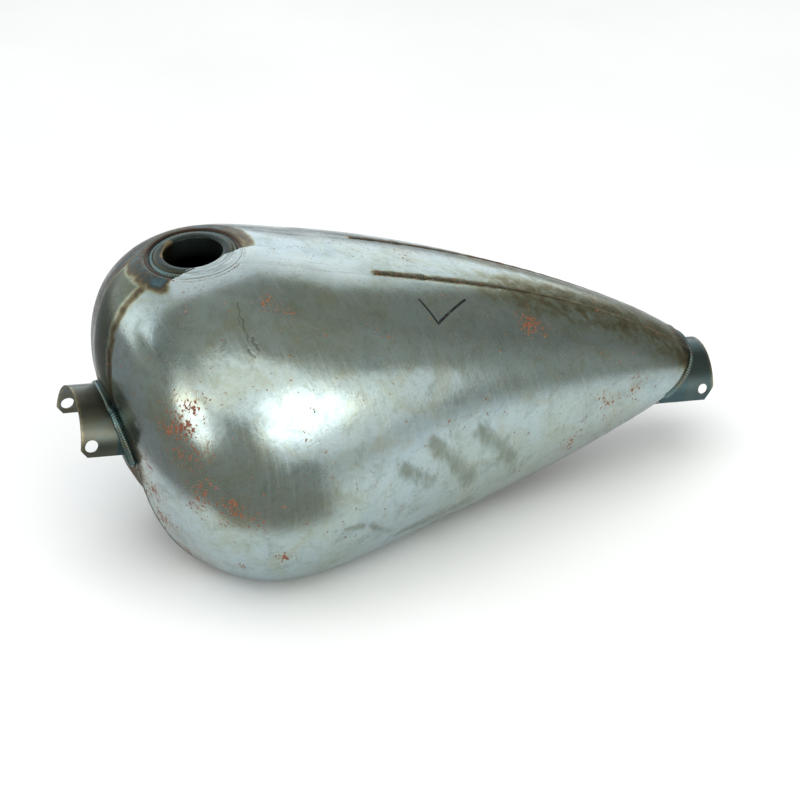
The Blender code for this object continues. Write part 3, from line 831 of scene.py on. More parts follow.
def marked(t, place, colour, height, grain):
    """The colour and height with the tick's pen strokes and the crooked creases, whose folds are
    painted darker as shade.
    """
    sway = [t.span(t.noise(place, size, 2.0), 0.0, 1.0, -0.004, 0.004) for size in (70.0, 85.0)]
    crooked = t.vector("ADD", place, t.joined(*sway))
    pen, folds = 0.0, 0.0
    for line in TICK:
        pen = t.calc("MAXIMUM", pen, t.stroke(place, *line))
    for line in CREASES:
        folds = t.calc("MAXIMUM", folds, t.stroke(crooked, *line))
    worn = t.span(grain, 0.30, 0.50, 0.45, 0.92)
    colour = t.blend(t.times(pen, worn), colour, PEN_LINE)
    # Painted shade: the creases darkened as if shade fell in their folds.
    colour = t.blend(t.times(folds, 0.40), colour, CREASE_SHADE)
    return colour, t.times_plus(folds, -1.6, height)


def bead_steel(name, cold, hot, roughness):
    """A weld bead: two tints in patches, dark where it was hottest."""
    t = Skin(name)
    place = t.place()
    patch = t.noise(place, 55.0, 3.0, 0.6, 0.6)
    grain = t.noise(place, 500.0, 4.0, 0.65)
    colour = t.blend(t.span(patch, 0.38, 0.64), cold, hot)
    burnt = t.span(t.times_plus(grain, 0.2, t.stored("scorch")), 0.35, 0.95, 0.0, 0.6)
    colour = t.blend(burnt, colour, (0.10, 0.06, 0.04))
    polished = t.blend(t.span(patch, 0.4, 0.6), (0.38, 0.45, 0.45), BRIGHT_STEEL)
    colour = t.blend(t.stored("ground"), colour, polished)
    rough = t.span(grain, 0.3, 0.7, roughness - 0.06, roughness + 0.12)
    normal = t.bump(grain, 0.00008)
    return t.finish(Base_Color=colour, Roughness=rough, Metallic=1.0, Normal=normal)


def filler_steel(name):
    """The filler's rings: tinted by their distance from the mouth, with fine turning lines."""
    t = Skin(name)
    place = t.place()
    reach = t.stored("reach")
    patch = t.noise(place, 38.0, 3.0, 0.6, 0.7)
    grain = t.noise(place, 450.0, 4.0, 0.6)
    turning = t.noise(t.joined(t.times(reach, 1.9), 0.0), 1.0, 3.0, 0.7)
    colour = t.ramp(t.span(t.wander(patch, 5.0, reach), 24.0, 46.0), RING_TINTS)
    colour = t.blend(t.span(grain, 0.45, 0.75, 0.0, 0.16), colour, (0.16, 0.20, 0.19))
    lip = t.span(reach, NECK_BORE + 0.05, NECK_BORE + 0.25, 0.8, 0.0)
    colour = t.blend(lip, colour, (0.26, 0.33, 0.30))
    # Painted highlight: a tan glint streak on the lip of the rings.
    painted_glint = t.times(t.stroke(place, *FILLER_GLINT_STREAK), t.span(patch, 0.35, 0.6, 0.2, 0.8))
    colour = t.blend(painted_glint, colour, (0.22, 0.16, 0.075))
    polished = t.blend(t.span(t.surface(22.0, 520.0), 0.40, 0.62), GROUND_STEEL, BRIGHT_STEEL)
    ragged = t.wander(t.noise(place, 160.0, 3.0), 1.6, t.stored("ground"))
    colour = t.blend(t.span(ragged, 0.35, 0.65), colour, polished)
    # Painted shadow: the dark gap line at the filler's near edge.
    colour = t.blend(t.stroke(place, *GAP_SHADOW_LINE), colour, GAP_SHADOW)
    rough = t.span(turning, 0.3, 0.7, 0.26, 0.44)
    normal = t.bump(t.times_plus(turning, 0.7, t.times(grain, 0.4)), 0.0001)
    return t.finish(Base_Color=colour, Roughness=rough, Metallic=1.0, Normal=normal)


def plate_steel(name):
    """The saddles: darker hot-rolled plate, browner at its cut edges and blue near the weld."""
    t = Skin(name)
    place = t.place()
    broad = t.noise(place, 26.0, 4.0, 0.6, 0.5)
    grain = t.noise(place, 380.0, 4.0, 0.6)
    colour = t.blend(t.span(broad, 0.35, 0.68), (0.105, 0.125, 0.110), (0.135, 0.130, 0.095))
    shifted = t.wander(broad, 0.5, t.stored("scorch"))
    colour = t.blend(t.span(shifted, 0.25, 0.60), colour, (0.060, 0.098, 0.104))
    worn = t.times(t.stored("edge"), t.span(grain, 0.25, 0.6))
    colour = t.blend(t.times(worn, 0.75), colour, (0.42, 0.36, 0.22))
    specks = t.span(t.noise(place, 150.0, 5.0, 0.65, 1.0), 0.66, 0.74)
    colour = t.blend(t.times(specks, 0.7), colour, (0.28, 0.10, 0.045))
    rough = t.span(broad, 0.3, 0.7, 0.25, 0.38)
    normal = t.bump(grain, 0.00008)
    return t.finish(Base_Color=colour, Roughness=rough, Metallic=1.0, Normal=normal)


def inner_steel(name):
    """The tunnel, the floors and the fittings: dull, never polished, a little rusty."""
    t = Skin(name)
    place = t.place()
    broad = t.noise(place, 18.0, 5.0, 0.62, 0.6)
    grain = t.noise(place, 330.0, 4.0, 0.6)
    colour = t.blend(t.span(broad, 0.34, 0.66), (0.30, 0.33, 0.31), (0.24, 0.22, 0.17))
    specks = t.span(t.noise(place, 120.0, 6.0, 0.65, 0.8), 0.60, 0.70)
    colour = t.blend(t.times(specks, 0.8), colour, (0.30, 0.11, 0.05))
    rough = t.span(grain, 0.3, 0.7, 0.42, 0.60)
    normal = t.bump(t.times_plus(broad, 2.0, grain), 0.0001, 0.5)
    return t.finish(Base_Color=colour, Roughness=rough, Metallic=1.0, Normal=normal)


# ---------------------------------------------------------------- the sheet pieces


def sheet_values(points, *marks):
    """What a sheet's material reads: marks are its seam, along, run, down, rust, and the grease
    with painted dent shade.
    """
    seam, along, run, down, rust, grime_and_dent_shade = (
        np.broadcast_to(mark, points.shape[:-1]) for mark in marks
    )
    return {
        "scorch": heat_field(points, seam, along),
        "ground": ground_field(points, seam),
        "grime_and_dent_shade": grime_and_dent_shade,
        "rust": rust,
        "run": run * MM,
        "down": down * MM,
    }


def shape_by_hand(grid, dents, seed):
    """Pushes the dents in and adds the low waves that hand-finished sheet has."""
    normals = grid_normals(grid)
    push = 0.10 * waves(grid, 95, seed) + 0.05 * waves(grid, 34, seed + 1)
    push -= spots(grid, dents)
    edge = np.minimum(np.arange(grid.shape[1]), np.arange(grid.shape[1])[::-1]) / 6.0
    push *= np.clip(edge, 0, 1)[None, :]
    push *= smooth_step(grid[..., 2], 0.5, 8.0)
    return grid + normals * push[..., None]


def build_side_shells(material):
    rows, columns = 250, 118
    along = np.linspace(0, 1, rows)
    even = np.linspace(0, 1, columns)
    share = 0.45 * (1 - np.cos(np.pi * even)) / 2 + 0.55 * even  # closer together at both edges
    base = on_rib(ribs(along), np.repeat(share[None], rows, 0))
    for side, sign, flip, rust, smudges_and_dent_shade, dents in (
        ("left", 1, False, LEFT_RUST, LEFT_SMEARS_AND_DENT_SHADE, LEFT_DENTS),
        ("right", -1, True, RIGHT_RUST, RIGHT_SMEARS, RIGHT_DENTS),
    ):
        grid = base * (1, sign, 1)
        run, down = arc_lengths(grid)
        outward = np.sign((grid_normals(grid) * (0, -sign, 0)).sum(-1).mean())
        shaped = lifted(grid + (shape_by_hand(grid, dents, 11) - grid) * outward)
        lower = down.max(axis=1, keepdims=True) - down
        low_front = 0.50 * np.exp(-((lower / 9) ** 2)) * (grid[..., 0] < 190)
        rusty = np.maximum(spots(grid, rust), low_front)
        grime_and_dent_shade = smears(grid, smudges_and_dent_shade)
        values = sheet_values(grid, down, along[:, None], run, down, rusty, grime_and_dent_shade)
        if side == "right":
            front = 1 - smooth_step(grid[..., 0], 80, 160)
            scorched = 0.74 * front * np.exp(-((down / 110) ** 2))
            values["scorch"] = np.maximum(values["scorch"], scorched)
        name = f"{side}_side_sheet"
        mesh = grid_mesh(name, shaped, flip, values)
        thicken(add_piece(name, mesh, material, f"{side}_side_shell"), SHEET)


def build_strips(nose_material, top_material):
    for part, node, start, end, rows, material, slot in (
        ("nose_sheet", "nose_strip", 0.0, FILLER_ALONG, 150, nose_material, "heat_darkened_steel"),
        ("top_sheet", "top_strip", FILLER_ALONG, 1.0, 260, top_material, "raw_steel"),
    ):
        along = np.linspace(start, end, rows)
        grid = strip_grid(along, 45)
        seam = np.abs(grid[:, :1, 1]) - np.abs(grid[..., 1])
        run, down = arc_lengths(grid)
        rusty = spots(grid, STRIP_RUST)
        values = sheet_values(grid, seam, along[:, None], down, run, rusty, 0.0)
        mesh = grid_mesh(part, lifted(grid), True, values)
        open_round_filler(mesh, filler_reach(grid) > DISH_RADIUS - 2)
        thicken(add_piece(part, mesh, material, node), SHEET)


def open_round_filler(mesh, keep):
    """Removes the vertices that the filler's hole takes away."""
    made = bmesh.new()
    made.from_mesh(mesh)
    made.verts.ensure_lookup_table()
    gone = [made.verts[i] for i in np.flatnonzero(~keep.reshape(-1))]
    bmesh.ops.delete(made, geom=gone, context="VERTS")
    made.to_mesh(mesh)
    made.free()


def beside_seam(handles, points, outward, reach):
    """Points on the two sheets, reach millimetres down the shell or, below 0, in on the strip."""
    far = np.abs(reach)
    first = 4 * np.linalg.norm(handles[:, 1] - handles[:, 0], axis=1)
    shell = on_rib(handles, (far / first)[:, None])[:, 0]
    half = np.abs(points[:, 1])
    across = 1 - far / half
    strip = points + outward * (STRIP_CROWN * (1 - across**2))[:, None]
    strip[:, 1] = -across * half
    return np.where((reach >= 0)[:, None], shell, strip)


def build_seam_beads(material):
    """The beads along the strip's edges: ground flush in front, rough from the middle back."""
    spacing, arch = 2.9, 17  # between ripples, and the points across a bead's top
    across = np.concatenate([np.linspace(-1, 1, arch), (0.6, -0.6)])
    for part, start, end in (("nose", 0.0, 0.35), ("top", 0.42, 1.0)):
        along = np.linspace(start, end, int((end - start) * 1500))
        points, outward = seam_frame(along)
        handles = ribs(along)
        run = lengths_along(points)
        rear = smooth_step(along, 0.568, 0.578)
        fading = 1 - 0.6 * smooth_step(along, 0.70, 0.92)
        begin = 1 - smooth_step(along, 0.60, 0.70)
        taper = smooth_step(along, start, start + 0.012)
        taper = taper * (1 - smooth_step(along, end - 0.012, end))
        ragged = 1 + 0.22 * waves(points, 14, 5) + 0.10 * waves(points, 5, 6)
        half = 5.0 * (1 - rear) + (2.2 + 1.0 * begin) * rear * ragged
        height = (0.10 + (0.72 + 0.45 * begin) * rear * fading * ragged) * taper
        columns = []
        for t in across[:arch]:
            wave = np.cos((run + 1.4 * t * t) * math.tau / spacing)
            dome = (1 - t * t) ** (2 - 1.4 * rear)
            lift = height * dome * (1 + 0.30 * rear * wave) - 0.04 * (abs(t) > 0.99)
            spot = beside_seam(handles, points, outward, t * half)
            columns.append(spot + outward * lift[:, None])
        for t in across[arch:]:
            columns.append(beside_seam(handles, points, outward, t * half) - outward * 1.4)
        grid = np.stack(columns, 1)
        aside = across * half[:, None]
        rough = rear[:, None]
        tint = ((0.56 + 0.10 * begin) * rear * fading)[:, None]
        for side, sign in (("left", 1), ("right", -1)):
            name = f"{side}_{part}_bead"
            placed = grid * (1, sign, 1)
            marks = (np.abs(aside), along[:, None], run[:, None], aside, 0.35 * rough, 0.5 * rough)
            values = sheet_values(placed, *marks)
            values["scorch"] = np.maximum(values["scorch"], tint)
            mesh = grid_mesh(name, lifted(placed), False, values, wrap=True, caps=True)
            add_piece(name, face_out(mesh), material, f"{side}_{part}_seam_weld", 60)


# ---------------------------------------------------------------- saddles and their welds


def build_saddle(end, offset, length, skirt, chamfer, material):
    """A half-round plate on the tube, its free end chamfered, with a bolt hole through its ears."""
    columns, skirt_rows = 29, 5
    levels = [(angle, 0.0) for angle in np.linspace(math.pi, 0, 73)]
    if skirt:
        drops = [-skirt * k / skirt_rows for k in range(1, skirt_rows + 1)]
        levels = [(math.pi, drop) for drop in drops[::-1]] + levels
        levels += [(0.0, drop) for drop in drops]
    front = end == "front"
    cut_length, cut_height = chamfer
    outer = np.zeros((len(levels), columns, 3))
    for i, (angle, drop) in enumerate(levels):
        across = SADDLE_RADIUS * math.cos(angle)
        up = SADDLE_RADIUS * math.sin(angle) + drop
        missing = max(0.0, 1 - (up + skirt) / cut_height) * cut_length
        first, last = (missing, length) if front else (0.0, length - missing)
        for j, place in enumerate(np.linspace(first, last, columns)):
            outer[i, j] = tube_point(offset + place, across, up)
    place, _ = along_tube(outer)
    free = place - offset if front else offset + length - place
    weld = np.maximum(length - 8 - free, 0)
    spread, least = (11, 0.0) if front else (26, 0.5)
    values = {
        "scorch": np.maximum(np.exp(-((weld / spread) ** 2)), least),
        "edge": np.exp(-((free / 1.6) ** 2)),
    }
    name = f"{end}_saddle_plate"
    mesh = grid_mesh(name, outer, False, values)
    piece = add_piece(name, mesh, material, f"{end}_saddle", 30)
    thicken(piece, SADDLE_WALL)
    cutter = drill(HOLE_IN["front"] if front else TUBE_RUN - HOLE_IN["rear"], end)
    cut = piece.modifiers.new("bolt_hole", "BOOLEAN")
    cut.object = cutter
    cut.solver = "EXACT"
    bake_modifiers(piece)
    bpy.data.objects.remove(cutter)
    soften = piece.modifiers.new("edges", "BEVEL")
    soften.width = 0.45 * MM
    soften.segments = 2
    soften.limit_method = "ANGLE"
    soften.angle_limit = math.radians(40)
    soften.harden_normals = True


def drill(along, end):
    """A rod across the tube, to cut a saddle's bolt holes with."""
    radius = HOLE_RADIUS[end] * MM
    across = Matrix.Rotation(math.pi / 2, 4, "X")
    sizes = {"radius1": radius, "radius2": radius, "depth": 0.12}
    made = bmesh.new()
    bmesh.ops.create_cone(made, cap_ends=True, segments=48, matrix=across, **sizes)
    mesh = bpy.data.meshes.new("drill")
    made.to_mesh(mesh)
    made.free()
    cutter = bpy.data.objects.new("drill", mesh)
    cutter.location = to_row(tube_point(along, 0, HOLE_UP[end]))
    cutter.rotation_euler = (0.0, TUBE_PITCH, 0.0)
    bpy.context.scene.collection.objects.link(cutter)
    return cutter


def bake_modifiers(piece):
    """Applies the piece's modifiers to its mesh."""
    bpy.context.view_layer.update()
    graph = bpy.context.evaluated_depsgraph_get()
    made = bpy.data.meshes.new_from_object(piece.evaluated_get(graph))
    piece.modifiers.clear()
    piece.data = made


def build_saddles(material):
    rear_start = TUBE_RUN - REAR_SADDLE_LENGTH
    build_saddle("front", 0.0, FRONT_SADDLE_LENGTH, FRONT_SKIRT, FRONT_CHAMFER, material)
    build_saddle("rear", rear_start, REAR_SADDLE_LENGTH, 0.0, REAR_CHAMFER, material)


def saddle_weld_path(along, lean, step):
    """Round the tube at the sheets' ends, from the left leg to the right, and the gap there."""
    shell = on_rib(ribs(np.array([along])), np.linspace(1, 0, 60)[None, :])[0]
    strip = strip_grid(np.array([along]), 41)[0]
    edge = np.concatenate([shell, strip[1:-1], (shell * (1, -1, 1))[::-1]])
    feet = tube_feet(edge)
    feet += np.minimum((edge - feet) @ TUBE_UP, 0.0)[:, None] * TUBE_UP
    gap = np.clip(np.linalg.norm(edge - feet, axis=1) - SADDLE_RADIUS, 0, 14)
    path = feet + unit(edge - feet) * (SADDLE_RADIUS + gap / 2)[:, None] + lean * TUBE_ALONG
    steps = even_steps(np.concatenate([path, gap[:, None]], 1), step)
    return steps[:, :3], steps[:, 3]


def build_saddle_beads(material):
    """The beads that fill the gap between each saddle and the sheets' ends round it."""
    step, spacing = 0.45, 2.3
    for end, along, lean, wide, over in (
        ("front", 0.0, -3.2, 4.4, 1.9),
        ("rear", 1.0, 1.5, 3.6, 2.1),
    ):
        path, gap = saddle_weld_path(along, lean, step)
        path = smoothed(path, 30)
        tall = over + smoothed(gap, 30) / 2
        run = unit(np.gradient(path, axis=0))
        away = path - tube_feet(path)
        outward = unit(away - run * np.sum(run * away, 1)[:, None])
        aside = np.cross(run, outward)
        length = np.arange(len(path)) * step
        taper = smooth_step(length, 0, 5) * (1 - smooth_step(length, length[-1] - 5, length[-1]))
        slim = 0.62 + 0.38 * smooth_step(np.abs(path[:, 1]), 14, 36)
        sides = []
        for angle in np.linspace(0, math.tau, 20, endpoint=False):
            across, up = math.cos(angle), math.sin(angle)
            wave = np.cos((length + 1.6 * across * across) * math.tau / spacing)
            uneven = 1 + 0.055 * wave * max(up, 0) + 0.05 * waves(path, 16, 3)
            size = ((0.35 + 0.65 * taper) * uneven * slim)[:, None]
            sides.append(path + aside * wide * across * size + outward * tall[:, None] * up * size)
        grid = np.stack(sides, 1)
        values = {"scorch": np.clip(0.25 + 0.25 * waves(grid, 40, 8), 0, 1)}
        name = f"{end}_saddle_bead"
        mesh = grid_mesh(name, grid, False, values, wrap=True, caps=True)
        add_piece(name, face_out(mesh), material, f"{end}_saddle_weld", 60)


# ---------------------------------------------------------------- filler


def flush(radius, height, angle, over=0.0):
    """A ring's points, with the near side's ground down to one low, falling face."""
    x, y = FILLER_CENTRE[0] + radius * np.cos(angle), radius * np.sin(angle)
    near = filler_near(np.stack([x, y], -1)) * smooth_step(radius, 28, 31) * (height > -3.1)
    face = 1.9 - 0.13 * (radius - 30) + over
    return radius, height * (1 - near) + face * near


def ripples(radius, height, angle):
    """The neck's bead, rippled on top, then ground flush like the rings beside it."""
    spacing = 2.4
    wave = np.cos(angle * radius.mean() * math.tau / spacing)
    top = smooth_step(height, -1.6, 0.2)
    height = height + top * (0.22 * wave + 0.12 * np.sin(angle * 5))
    return flush(radius, height, angle, 0.08)


def build_filler(matrix, ring_material, bead_material):
    neck = (
        (NECK_BORE, 0.2),
        (NECK_BORE, -22.0),
        (NECK_BORE + 3.2, -22.0),
        (NECK_BORE + 3.2, -6.0),
        (NECK_RADIUS, -4.0),
        (NECK_RADIUS, -0.2),
        (NECK_RADIUS - 1.6, 1.2),
        (NECK_RADIUS - 4.4, 2.0),
        (NECK_BORE + 3.4, 1.9),
        (NECK_BORE + 1.0, 1.4),
    )
    dish = (
        (NECK_RADIUS + 1.0, -2.2),
        (NECK_RADIUS + 1.0, -4.4),
        (DISH_RADIUS - 2.2, -5.0),
        (DISH_RADIUS - 2.2, -9.0),
        (DISH_RADIUS, -9.0),
        (DISH_RADIUS, -0.6),
        (DISH_RADIUS - 0.9, 0.3),
        (DISH_RADIUS - 2.6, -0.2),
        (DISH_RADIUS - 4.4, -1.6),
    )
    bead = (
        (NECK_RADIUS - 0.4, -3.0),
        (NECK_RADIUS + 3.6, -3.4),
        (NECK_RADIUS + 3.4, -1.7),
        (NECK_RADIUS + 1.4, 0.3),
        (NECK_RADIUS - 0.3, -0.1),
    )
    for part, profile in (("neck", neck), ("dish", dish)):
        mesh = turned(f"{part}_ring", rounded(profile), matrix, 320, flush)
        add_piece(mesh.name, mesh, ring_material, f"filler_{part}")
    mesh = turned("neck_bead", rounded(bead), matrix, 720, ripples)
    add_piece("neck_bead", mesh, bead_material, "filler_neck_weld", 60)


def build_dish_bead(matrix, material):
    """The bead between the dish's rim and the crowned top round it."""
    steps, spacing = 560, 2.6
    angles = np.linspace(0, math.tau, steps, endpoint=False)
    inner, outer = DISH_RADIUS - 0.3, DISH_WELD_RADIUS - 0.2
    back, aside, axis = np.array(matrix.to_3x3()).T
    rays = np.cos(angles)[:, None] * back + np.sin(angles)[:, None] * aside
    centre = np.array(matrix.translation)
    rim = centre + rays * inner - axis * 0.5
    foot = centre + rays * outer
    foot[:, 2] = smoothed(crown_height(foot[:, :2]), 12, ring=True)
    foot[:, 2] += np.interp(angles, *RIM_GAPS, period=math.tau)
    wave = np.cos(np.arange(steps) * math.tau / steps * round(math.tau * outer / spacing))
    columns = []
    for t in np.linspace(0, 1, 9):
        lift = 0.42 * math.sin(math.pi * t) * (1 + 0.25 * wave)
        columns.append(rim * (1 - t) + foot * t + axis * lift[:, None])
    columns += [rim * (1 - t) + foot * t - axis * 2.2 for t in (1.0, 0.0)]
    mesh, places = ring_mesh("dish_bead", np.stack(columns, 1))
    far_off = 99.0  # the seams' own heat and grinding stay off this bead
    run, down = filler_turn(places) * DISH_WELD_RADIUS, filler_reach(places)
    store(mesh, sheet_values(places, far_off, 0.4, run, down, 0.25, 0.2))
    add_piece("dish_bead", mesh, material, "filler_dish_weld", 60)


# ---------------------------------------------------------------- underside


def build_tunnel(material):
    rows, arcs = 120, 48
    along = np.linspace(0, 1, rows)
    edge = on_rib(ribs(along), np.ones((rows, 1)))[:, 0]
    feet = np.minimum(edge[:, 2], TUBE_HEIGHT - edge[:, 0] * math.tan(TUBE_PITCH) - 2.0)
    outer = np.zeros((rows, arcs + 3, 3))
    for i, crest in enumerate(np.linspace(CHANNEL_START, CHANNEL_END, rows)):
        for j, angle in enumerate(np.linspace(math.pi, 0, arcs + 1)):
            across, up = CHANNEL_RADIUS * math.cos(angle), CHANNEL_RADIUS * math.sin(angle)
            outer[i, j + 1] = tube_point(crest, across, up)
        outer[i, 0] = (edge[i, 0], -CHANNEL_RADIUS, feet[i])
        outer[i, -1] = (edge[i, 0], CHANNEL_RADIUS, feet[i])
    mesh = grid_mesh("tunnel_sheet", outer, True, {})
    thicken(add_piece("tunnel_sheet", mesh, material, "tunnel_channel"), SHEET)


def build_floors(material, bead_material):
    """The flat floor of each lobe, and the bead between it and the shell's lower edge."""
    rows = 240
    along = np.linspace(0.004, 0.996, rows)
    edge = on_rib(ribs(along), np.ones((rows, 1)))[:, 0]
    inner, outer, spine = edge.copy(), edge.copy(), edge.copy()
    inner[:, 1] = -CHANNEL_RADIUS
    outer[:, 1] = np.minimum(edge[:, 1] + 1.0, inner[:, 1] - 1.0)
    spine[:, 1] += 1.6
    share = np.linspace(0, 1, 12)[None, :, None]
    grid = outer[:, None] * (1 - share) + inner[:, None] * share
    run = np.gradient(edge, axis=0)
    downward = unit(np.stack([run[:, 2], np.zeros(rows), -run[:, 0]], 1))
    height = 0.7 * smooth_step(edge[:, 2], 0.8, 3.0)
    for side, sign, flip in (("left", 1, False), ("right", -1, True)):
        turn = np.array((1, sign, 1))
        name = f"{side}_floor_sheet"
        mesh = grid_mesh(name, grid * turn, flip, {})
        thicken(add_piece(name, mesh, material, f"{side}_bottom_pan"), SHEET)
        name = f"{side}_floor_bead"
        aside = np.array((0, sign, 0))
        mesh = bead_mesh(name, spine * turn, aside, downward, 2.0, height, 2.6, 0.5)
        add_piece(name, mesh, bead_material, f"{side}_pan_weld")


def build_fittings(material):
    lip = 1.6
    bung = (
        (PETCOCK_BORE, 0.0),
        (PETCOCK_RADIUS, 0.0),
        (PETCOCK_RADIUS, SHEET + lip),
        (PETCOCK_RADIUS - 1.0, SHEET + lip + 1.0),
        (PETCOCK_RADIUS - 1.0, 13.0),
        (PETCOCK_BORE, 13.0),
    )
    spot = Matrix.Translation(Vector((*PETCOCK_SPOT, 0.0)))
    mesh = turned("petcock_fitting", rounded(bung, 1), spot, 96)
    add_piece("petcock_fitting", mesh, material, "petcock_bung")
    along, up = NIPPLE_SPOT
    barb = NIPPLE_RADIUS + 0.7
    stub = (
        (NIPPLE_BORE, -1.5),
        (NIPPLE_BORE, NIPPLE_REACH + SHEET),
        (NIPPLE_RADIUS - 0.4, NIPPLE_REACH + SHEET),
        (barb, NIPPLE_REACH + SHEET - 3.5),
        (NIPPLE_RADIUS, NIPPLE_REACH + SHEET - 4.5),
        (NIPPLE_RADIUS, -1.5),
    )
    for side, sign in (("left", -1), ("right", 1)):
        turn = Matrix.Rotation(sign * math.pi / 2, 4, "X")
        place = Matrix.Translation(Vector((along, sign * CHANNEL_RADIUS, up))) @ turn
        mesh = turned(f"{side}_hose_stub", rounded(stub, 1), place, 48)
        add_piece(f"{side}_hose_stub", mesh, material, f"{side}_crossover_nipple")


# ---------------------------------------------------------------- the set


def pale(name, colour, roughness):
    """A plain, slightly cloudy paint."""
    t = Skin(name)
    shade = tuple(channel * 0.96 for channel in colour)
    tone = t.blend(t.span(t.noise(t.place(), 3.0, 3.0, 0.5), 0.3, 0.7), colour, shade)
    return t.finish(Base_Color=tone, Roughness=roughness)


def stage_plane(name, corners, height, material):
    mesh = bpy.data.meshes.new(name)
    mesh.from_pydata([(x, y, height) for x, y in corners], [], [tuple(range(len(corners)))])
    mesh.materials.append(material)
    plane = bpy.data.objects.new(name, mesh)
    bpy.context.scene.collection.objects.link(plane)
    return plane


def direction(azimuth, elevation):
    """The unit vector from the tank towards an azimuth and elevation in degrees."""
    a, e = math.radians(azimuth), math.radians(elevation)
    return Vector((math.sin(a) * math.cos(e), -math.cos(a) * math.cos(e), math.sin(e)))


# Each light's azimuth, elevation, distance, width, height and radiance.
LIGHTS = {
    "left_box": (-52, 6, 2.4, 1.20, 1.15, 1.75),
    "left_glow": (-46, 12, 2.5, 1.90, 1.60, 0.62),
    "right_box": (15, 10, 2.4, 1.50, 1.05, 1.72),
    "right_glow": (25, 7, 2.5, 2.60, 1.75, 0.66),
    "camera_box": (-5, 31, 2.6, 3.30, 1.55, 0.95),
    "top_box": (-30, 78, 3.0, 4.0, 4.0, 1.9),
}
LIT_PLACE = (0.0, 0.0, 0.13)

CAMERA_TARGET = (0.0038, 0.0, 0.1039)
CAMERA_AZIMUTH = -20.8
CAMERA_ELEVATION = 31.7
CAMERA_DISTANCE = 3.03


def soft_light(name, azimuth, elevation, distance, width, height, radiance):
    """A soft box at a direction from the tank, facing it. Its power follows from its size."""
    data = bpy.data.lights.new(name, "AREA")
    data.shape = "ELLIPSE"
    data.size = width
    data.size_y = height
    data.energy = radiance * math.pi * math.pi / 4 * width * height
    lamp = bpy.data.objects.new(name, data)
    away = direction(azimuth, elevation)
    lamp.location = Vector(LIT_PLACE) + away * distance
    lamp.rotation_euler = away.to_track_quat("Z", "Y").to_euler()
    lamp.visible_camera = False
    lamp.visible_glossy = name != "top_box"
    bpy.context.scene.collection.objects.link(lamp)


def build_sky(world):
    """A plain room: a pale wall behind and to the left, a dimmer room in front."""
    t = Tree(world.node_tree)
    toward = t.add("ShaderNodeTexCoord").outputs["Generated"]
    x, y, z = t.add("ShaderNodeSeparateXYZ", {0: toward}).outputs
    level = t.calc("SQRT", t.minus(1.0, t.times(z, z)))

    def facing(azimuth):
        a = math.radians(azimuth)
        return t.calc("DIVIDE", t.times_plus(y, -math.cos(a), t.times(x, math.sin(a))), level)

    right = t.span(facing(98), 0.79, 0.92)
    left = t.span(facing(-77), 0.92, 0.985)
    lean = t.span(z, 0.29, 0.37, 0.25, 0.0)
    wall = t.span(t.minus(facing(-163.5), lean), 0.22, 0.30)
    low_right = t.times(right, t.minus(1.0, t.span(z, 0.52, 0.66)))
    wall = t.times(wall, t.minus(1.0, low_right))
    wall_light = t.span(z, 0.38, 0.75, 1.42, 0.86)
    room = t.span(z, -0.5, 0.40, 0.31, 0.385)
    dimmer = t.times(right, t.span(z, 0.3, 0.95, 0.38, 0.12))
    room = t.times(room, t.minus(1.0, dimmer))
    high_left = t.times(left, t.span(z, 0.1, 0.3))
    room = t.times(room, t.times_plus(high_left, -0.28, 1.0))
    share = t.times(wall, t.span(z, -0.02, 0.05))
    sky = world.node_tree.nodes["Background"]
    t.put(sky.inputs["Strength"], t.mix(share, room, wall_light))
    t.put(sky.inputs["Color"], t.blend(wall, (0.99, 1.0, 0.89), (0.97, 1.0, 1.03)))


def build_card():
    """Pale paper beside the tank, seen only in the steel, which fades out at its edges."""
    edge = (
        (-0.37, -0.20),
        (-0.20, -0.27),
        (-0.05, -0.27),
        (0.00, -0.40),
        (0.06, -0.68),
        (0.16, -1.05),
        (0.62, -1.30),
        (1.10, -1.30),
        (1.10, 1.20),
        (-0.37, 1.20),
    )
    paper = pale("pale_card", (0.86, 0.875, 0.895), 0.8)
    t = Tree(paper.node_tree)
    across, outward, _ = t.add("ShaderNodeSeparateXYZ", {0: t.place()}).outputs
    ahead = t.span(outward, -0.46, -0.25, 0.45, 1.0)
    right = t.calc("MAXIMUM", t.plus(across, 0.05), 0.0)
    left = t.calc("MAXIMUM", t.minus(-0.20, across), 0.0)
    front = t.times_plus(left, -0.5, t.times_plus(right, 2.5, outward))
    front = t.span(front, -0.265, -0.195)
    ends = t.times(t.span(across, 0.25, 0.85, 1.0, 0.0), t.span(across, -0.37, -0.31))
    solid = t.times(ends, t.times(ahead, front))
    t.put(paper.node_tree.nodes["Principled BSDF"].inputs["Alpha"], solid)
    card = stage_plane("under_card", edge, 0.0004, paper)
    card.visible_camera = False
    card.visible_diffuse = False
    card.visible_shadow = False


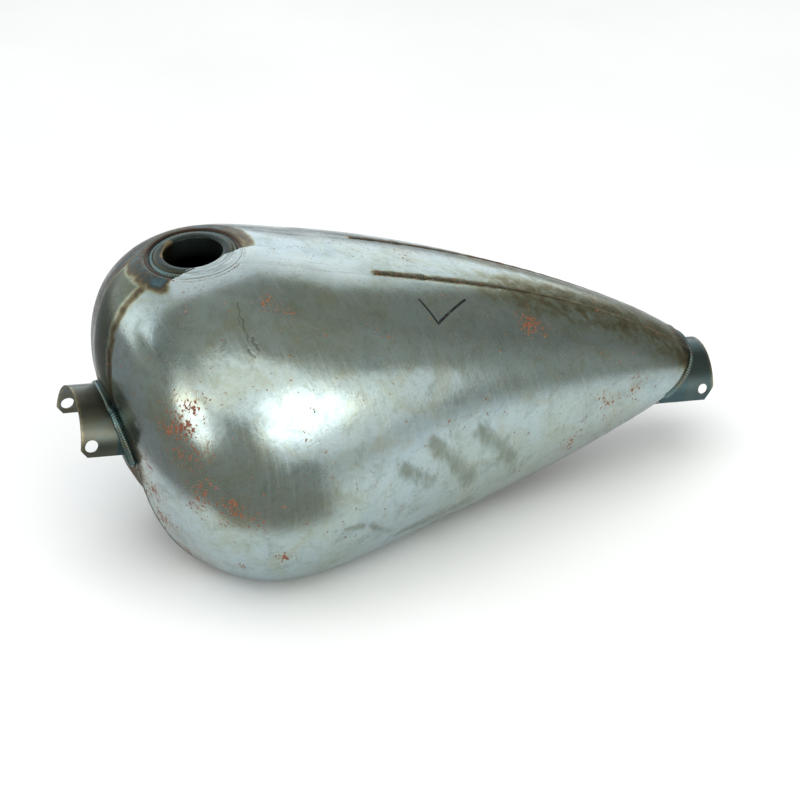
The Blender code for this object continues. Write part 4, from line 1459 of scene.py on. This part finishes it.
def build_set():
    paint = pale("pale_floor", (0.90, 0.905, 0.905), 0.8)
    floor = stage_plane("floor", ((-9, -9), (9, -9), (9, 9), (-9, 9)), 0.0, paint)
    floor.visible_glossy = False
    build_card()
    world = bpy.data.worlds.new("studio")
    bpy.context.scene.world = world
    world.use_nodes = True
    build_sky(world)
    for name, row in LIGHTS.items():
        soft_light(name, *row)


def build_camera():
    data = bpy.data.cameras.new("camera")
    data.sensor_width = 36.0
    data.lens = 144.4
    data.clip_end = 60.0
    camera = bpy.data.objects.new("camera", data)
    away = direction(CAMERA_AZIMUTH, CAMERA_ELEVATION)
    camera.location = Vector(CAMERA_TARGET) + away * CAMERA_DISTANCE
    camera.rotation_euler = away.to_track_quat("Z", "Y").to_euler()
    bpy.context.scene.collection.objects.link(camera)
    bpy.context.scene.camera = camera


def main():
    raw = steel("raw_steel_skin", COOL_STEEL, WARM_STEEL, 0.205, 0.0, marks=True)
    top = steel("top_steel_skin", COOL_STEEL, WARM_STEEL, 0.22, 3.0)
    nose = steel("nose_steel_skin", NOSE_COOL, NOSE_WARM, 0.28, 7.0, tarnish=0.8)
    seam = steel("seam_weld_skin", COOL_STEEL, WARM_STEEL, 0.26, 0.0)
    bead = bead_steel("bead_skin", (0.115, 0.195, 0.195), (0.17, 0.185, 0.15), 0.24)
    plain = bead_steel("plain_bead_skin", (0.26, 0.29, 0.27), (0.20, 0.20, 0.16), 0.34)
    inner = inner_steel("inner_skin")
    filler_turned = Matrix.Rotation(-FILLER_TILT, 4, "Y")
    filler_frame = Matrix.Translation(Vector(FILLER_CENTRE)) @ filler_turned
    build_side_shells(raw)
    build_strips(nose, top)
    build_seam_beads(seam)
    build_filler(filler_frame, filler_steel("filler_skin"), bead)
    build_dish_bead(filler_frame, seam)
    build_saddles(plate_steel("saddle_skin"))
    build_saddle_beads(bead)
    build_tunnel(inner)
    build_floors(inner, plain)
    build_fittings(inner)
    build_set()
    build_camera()
    bpy.context.scene.view_settings.view_transform = "Standard"


main()
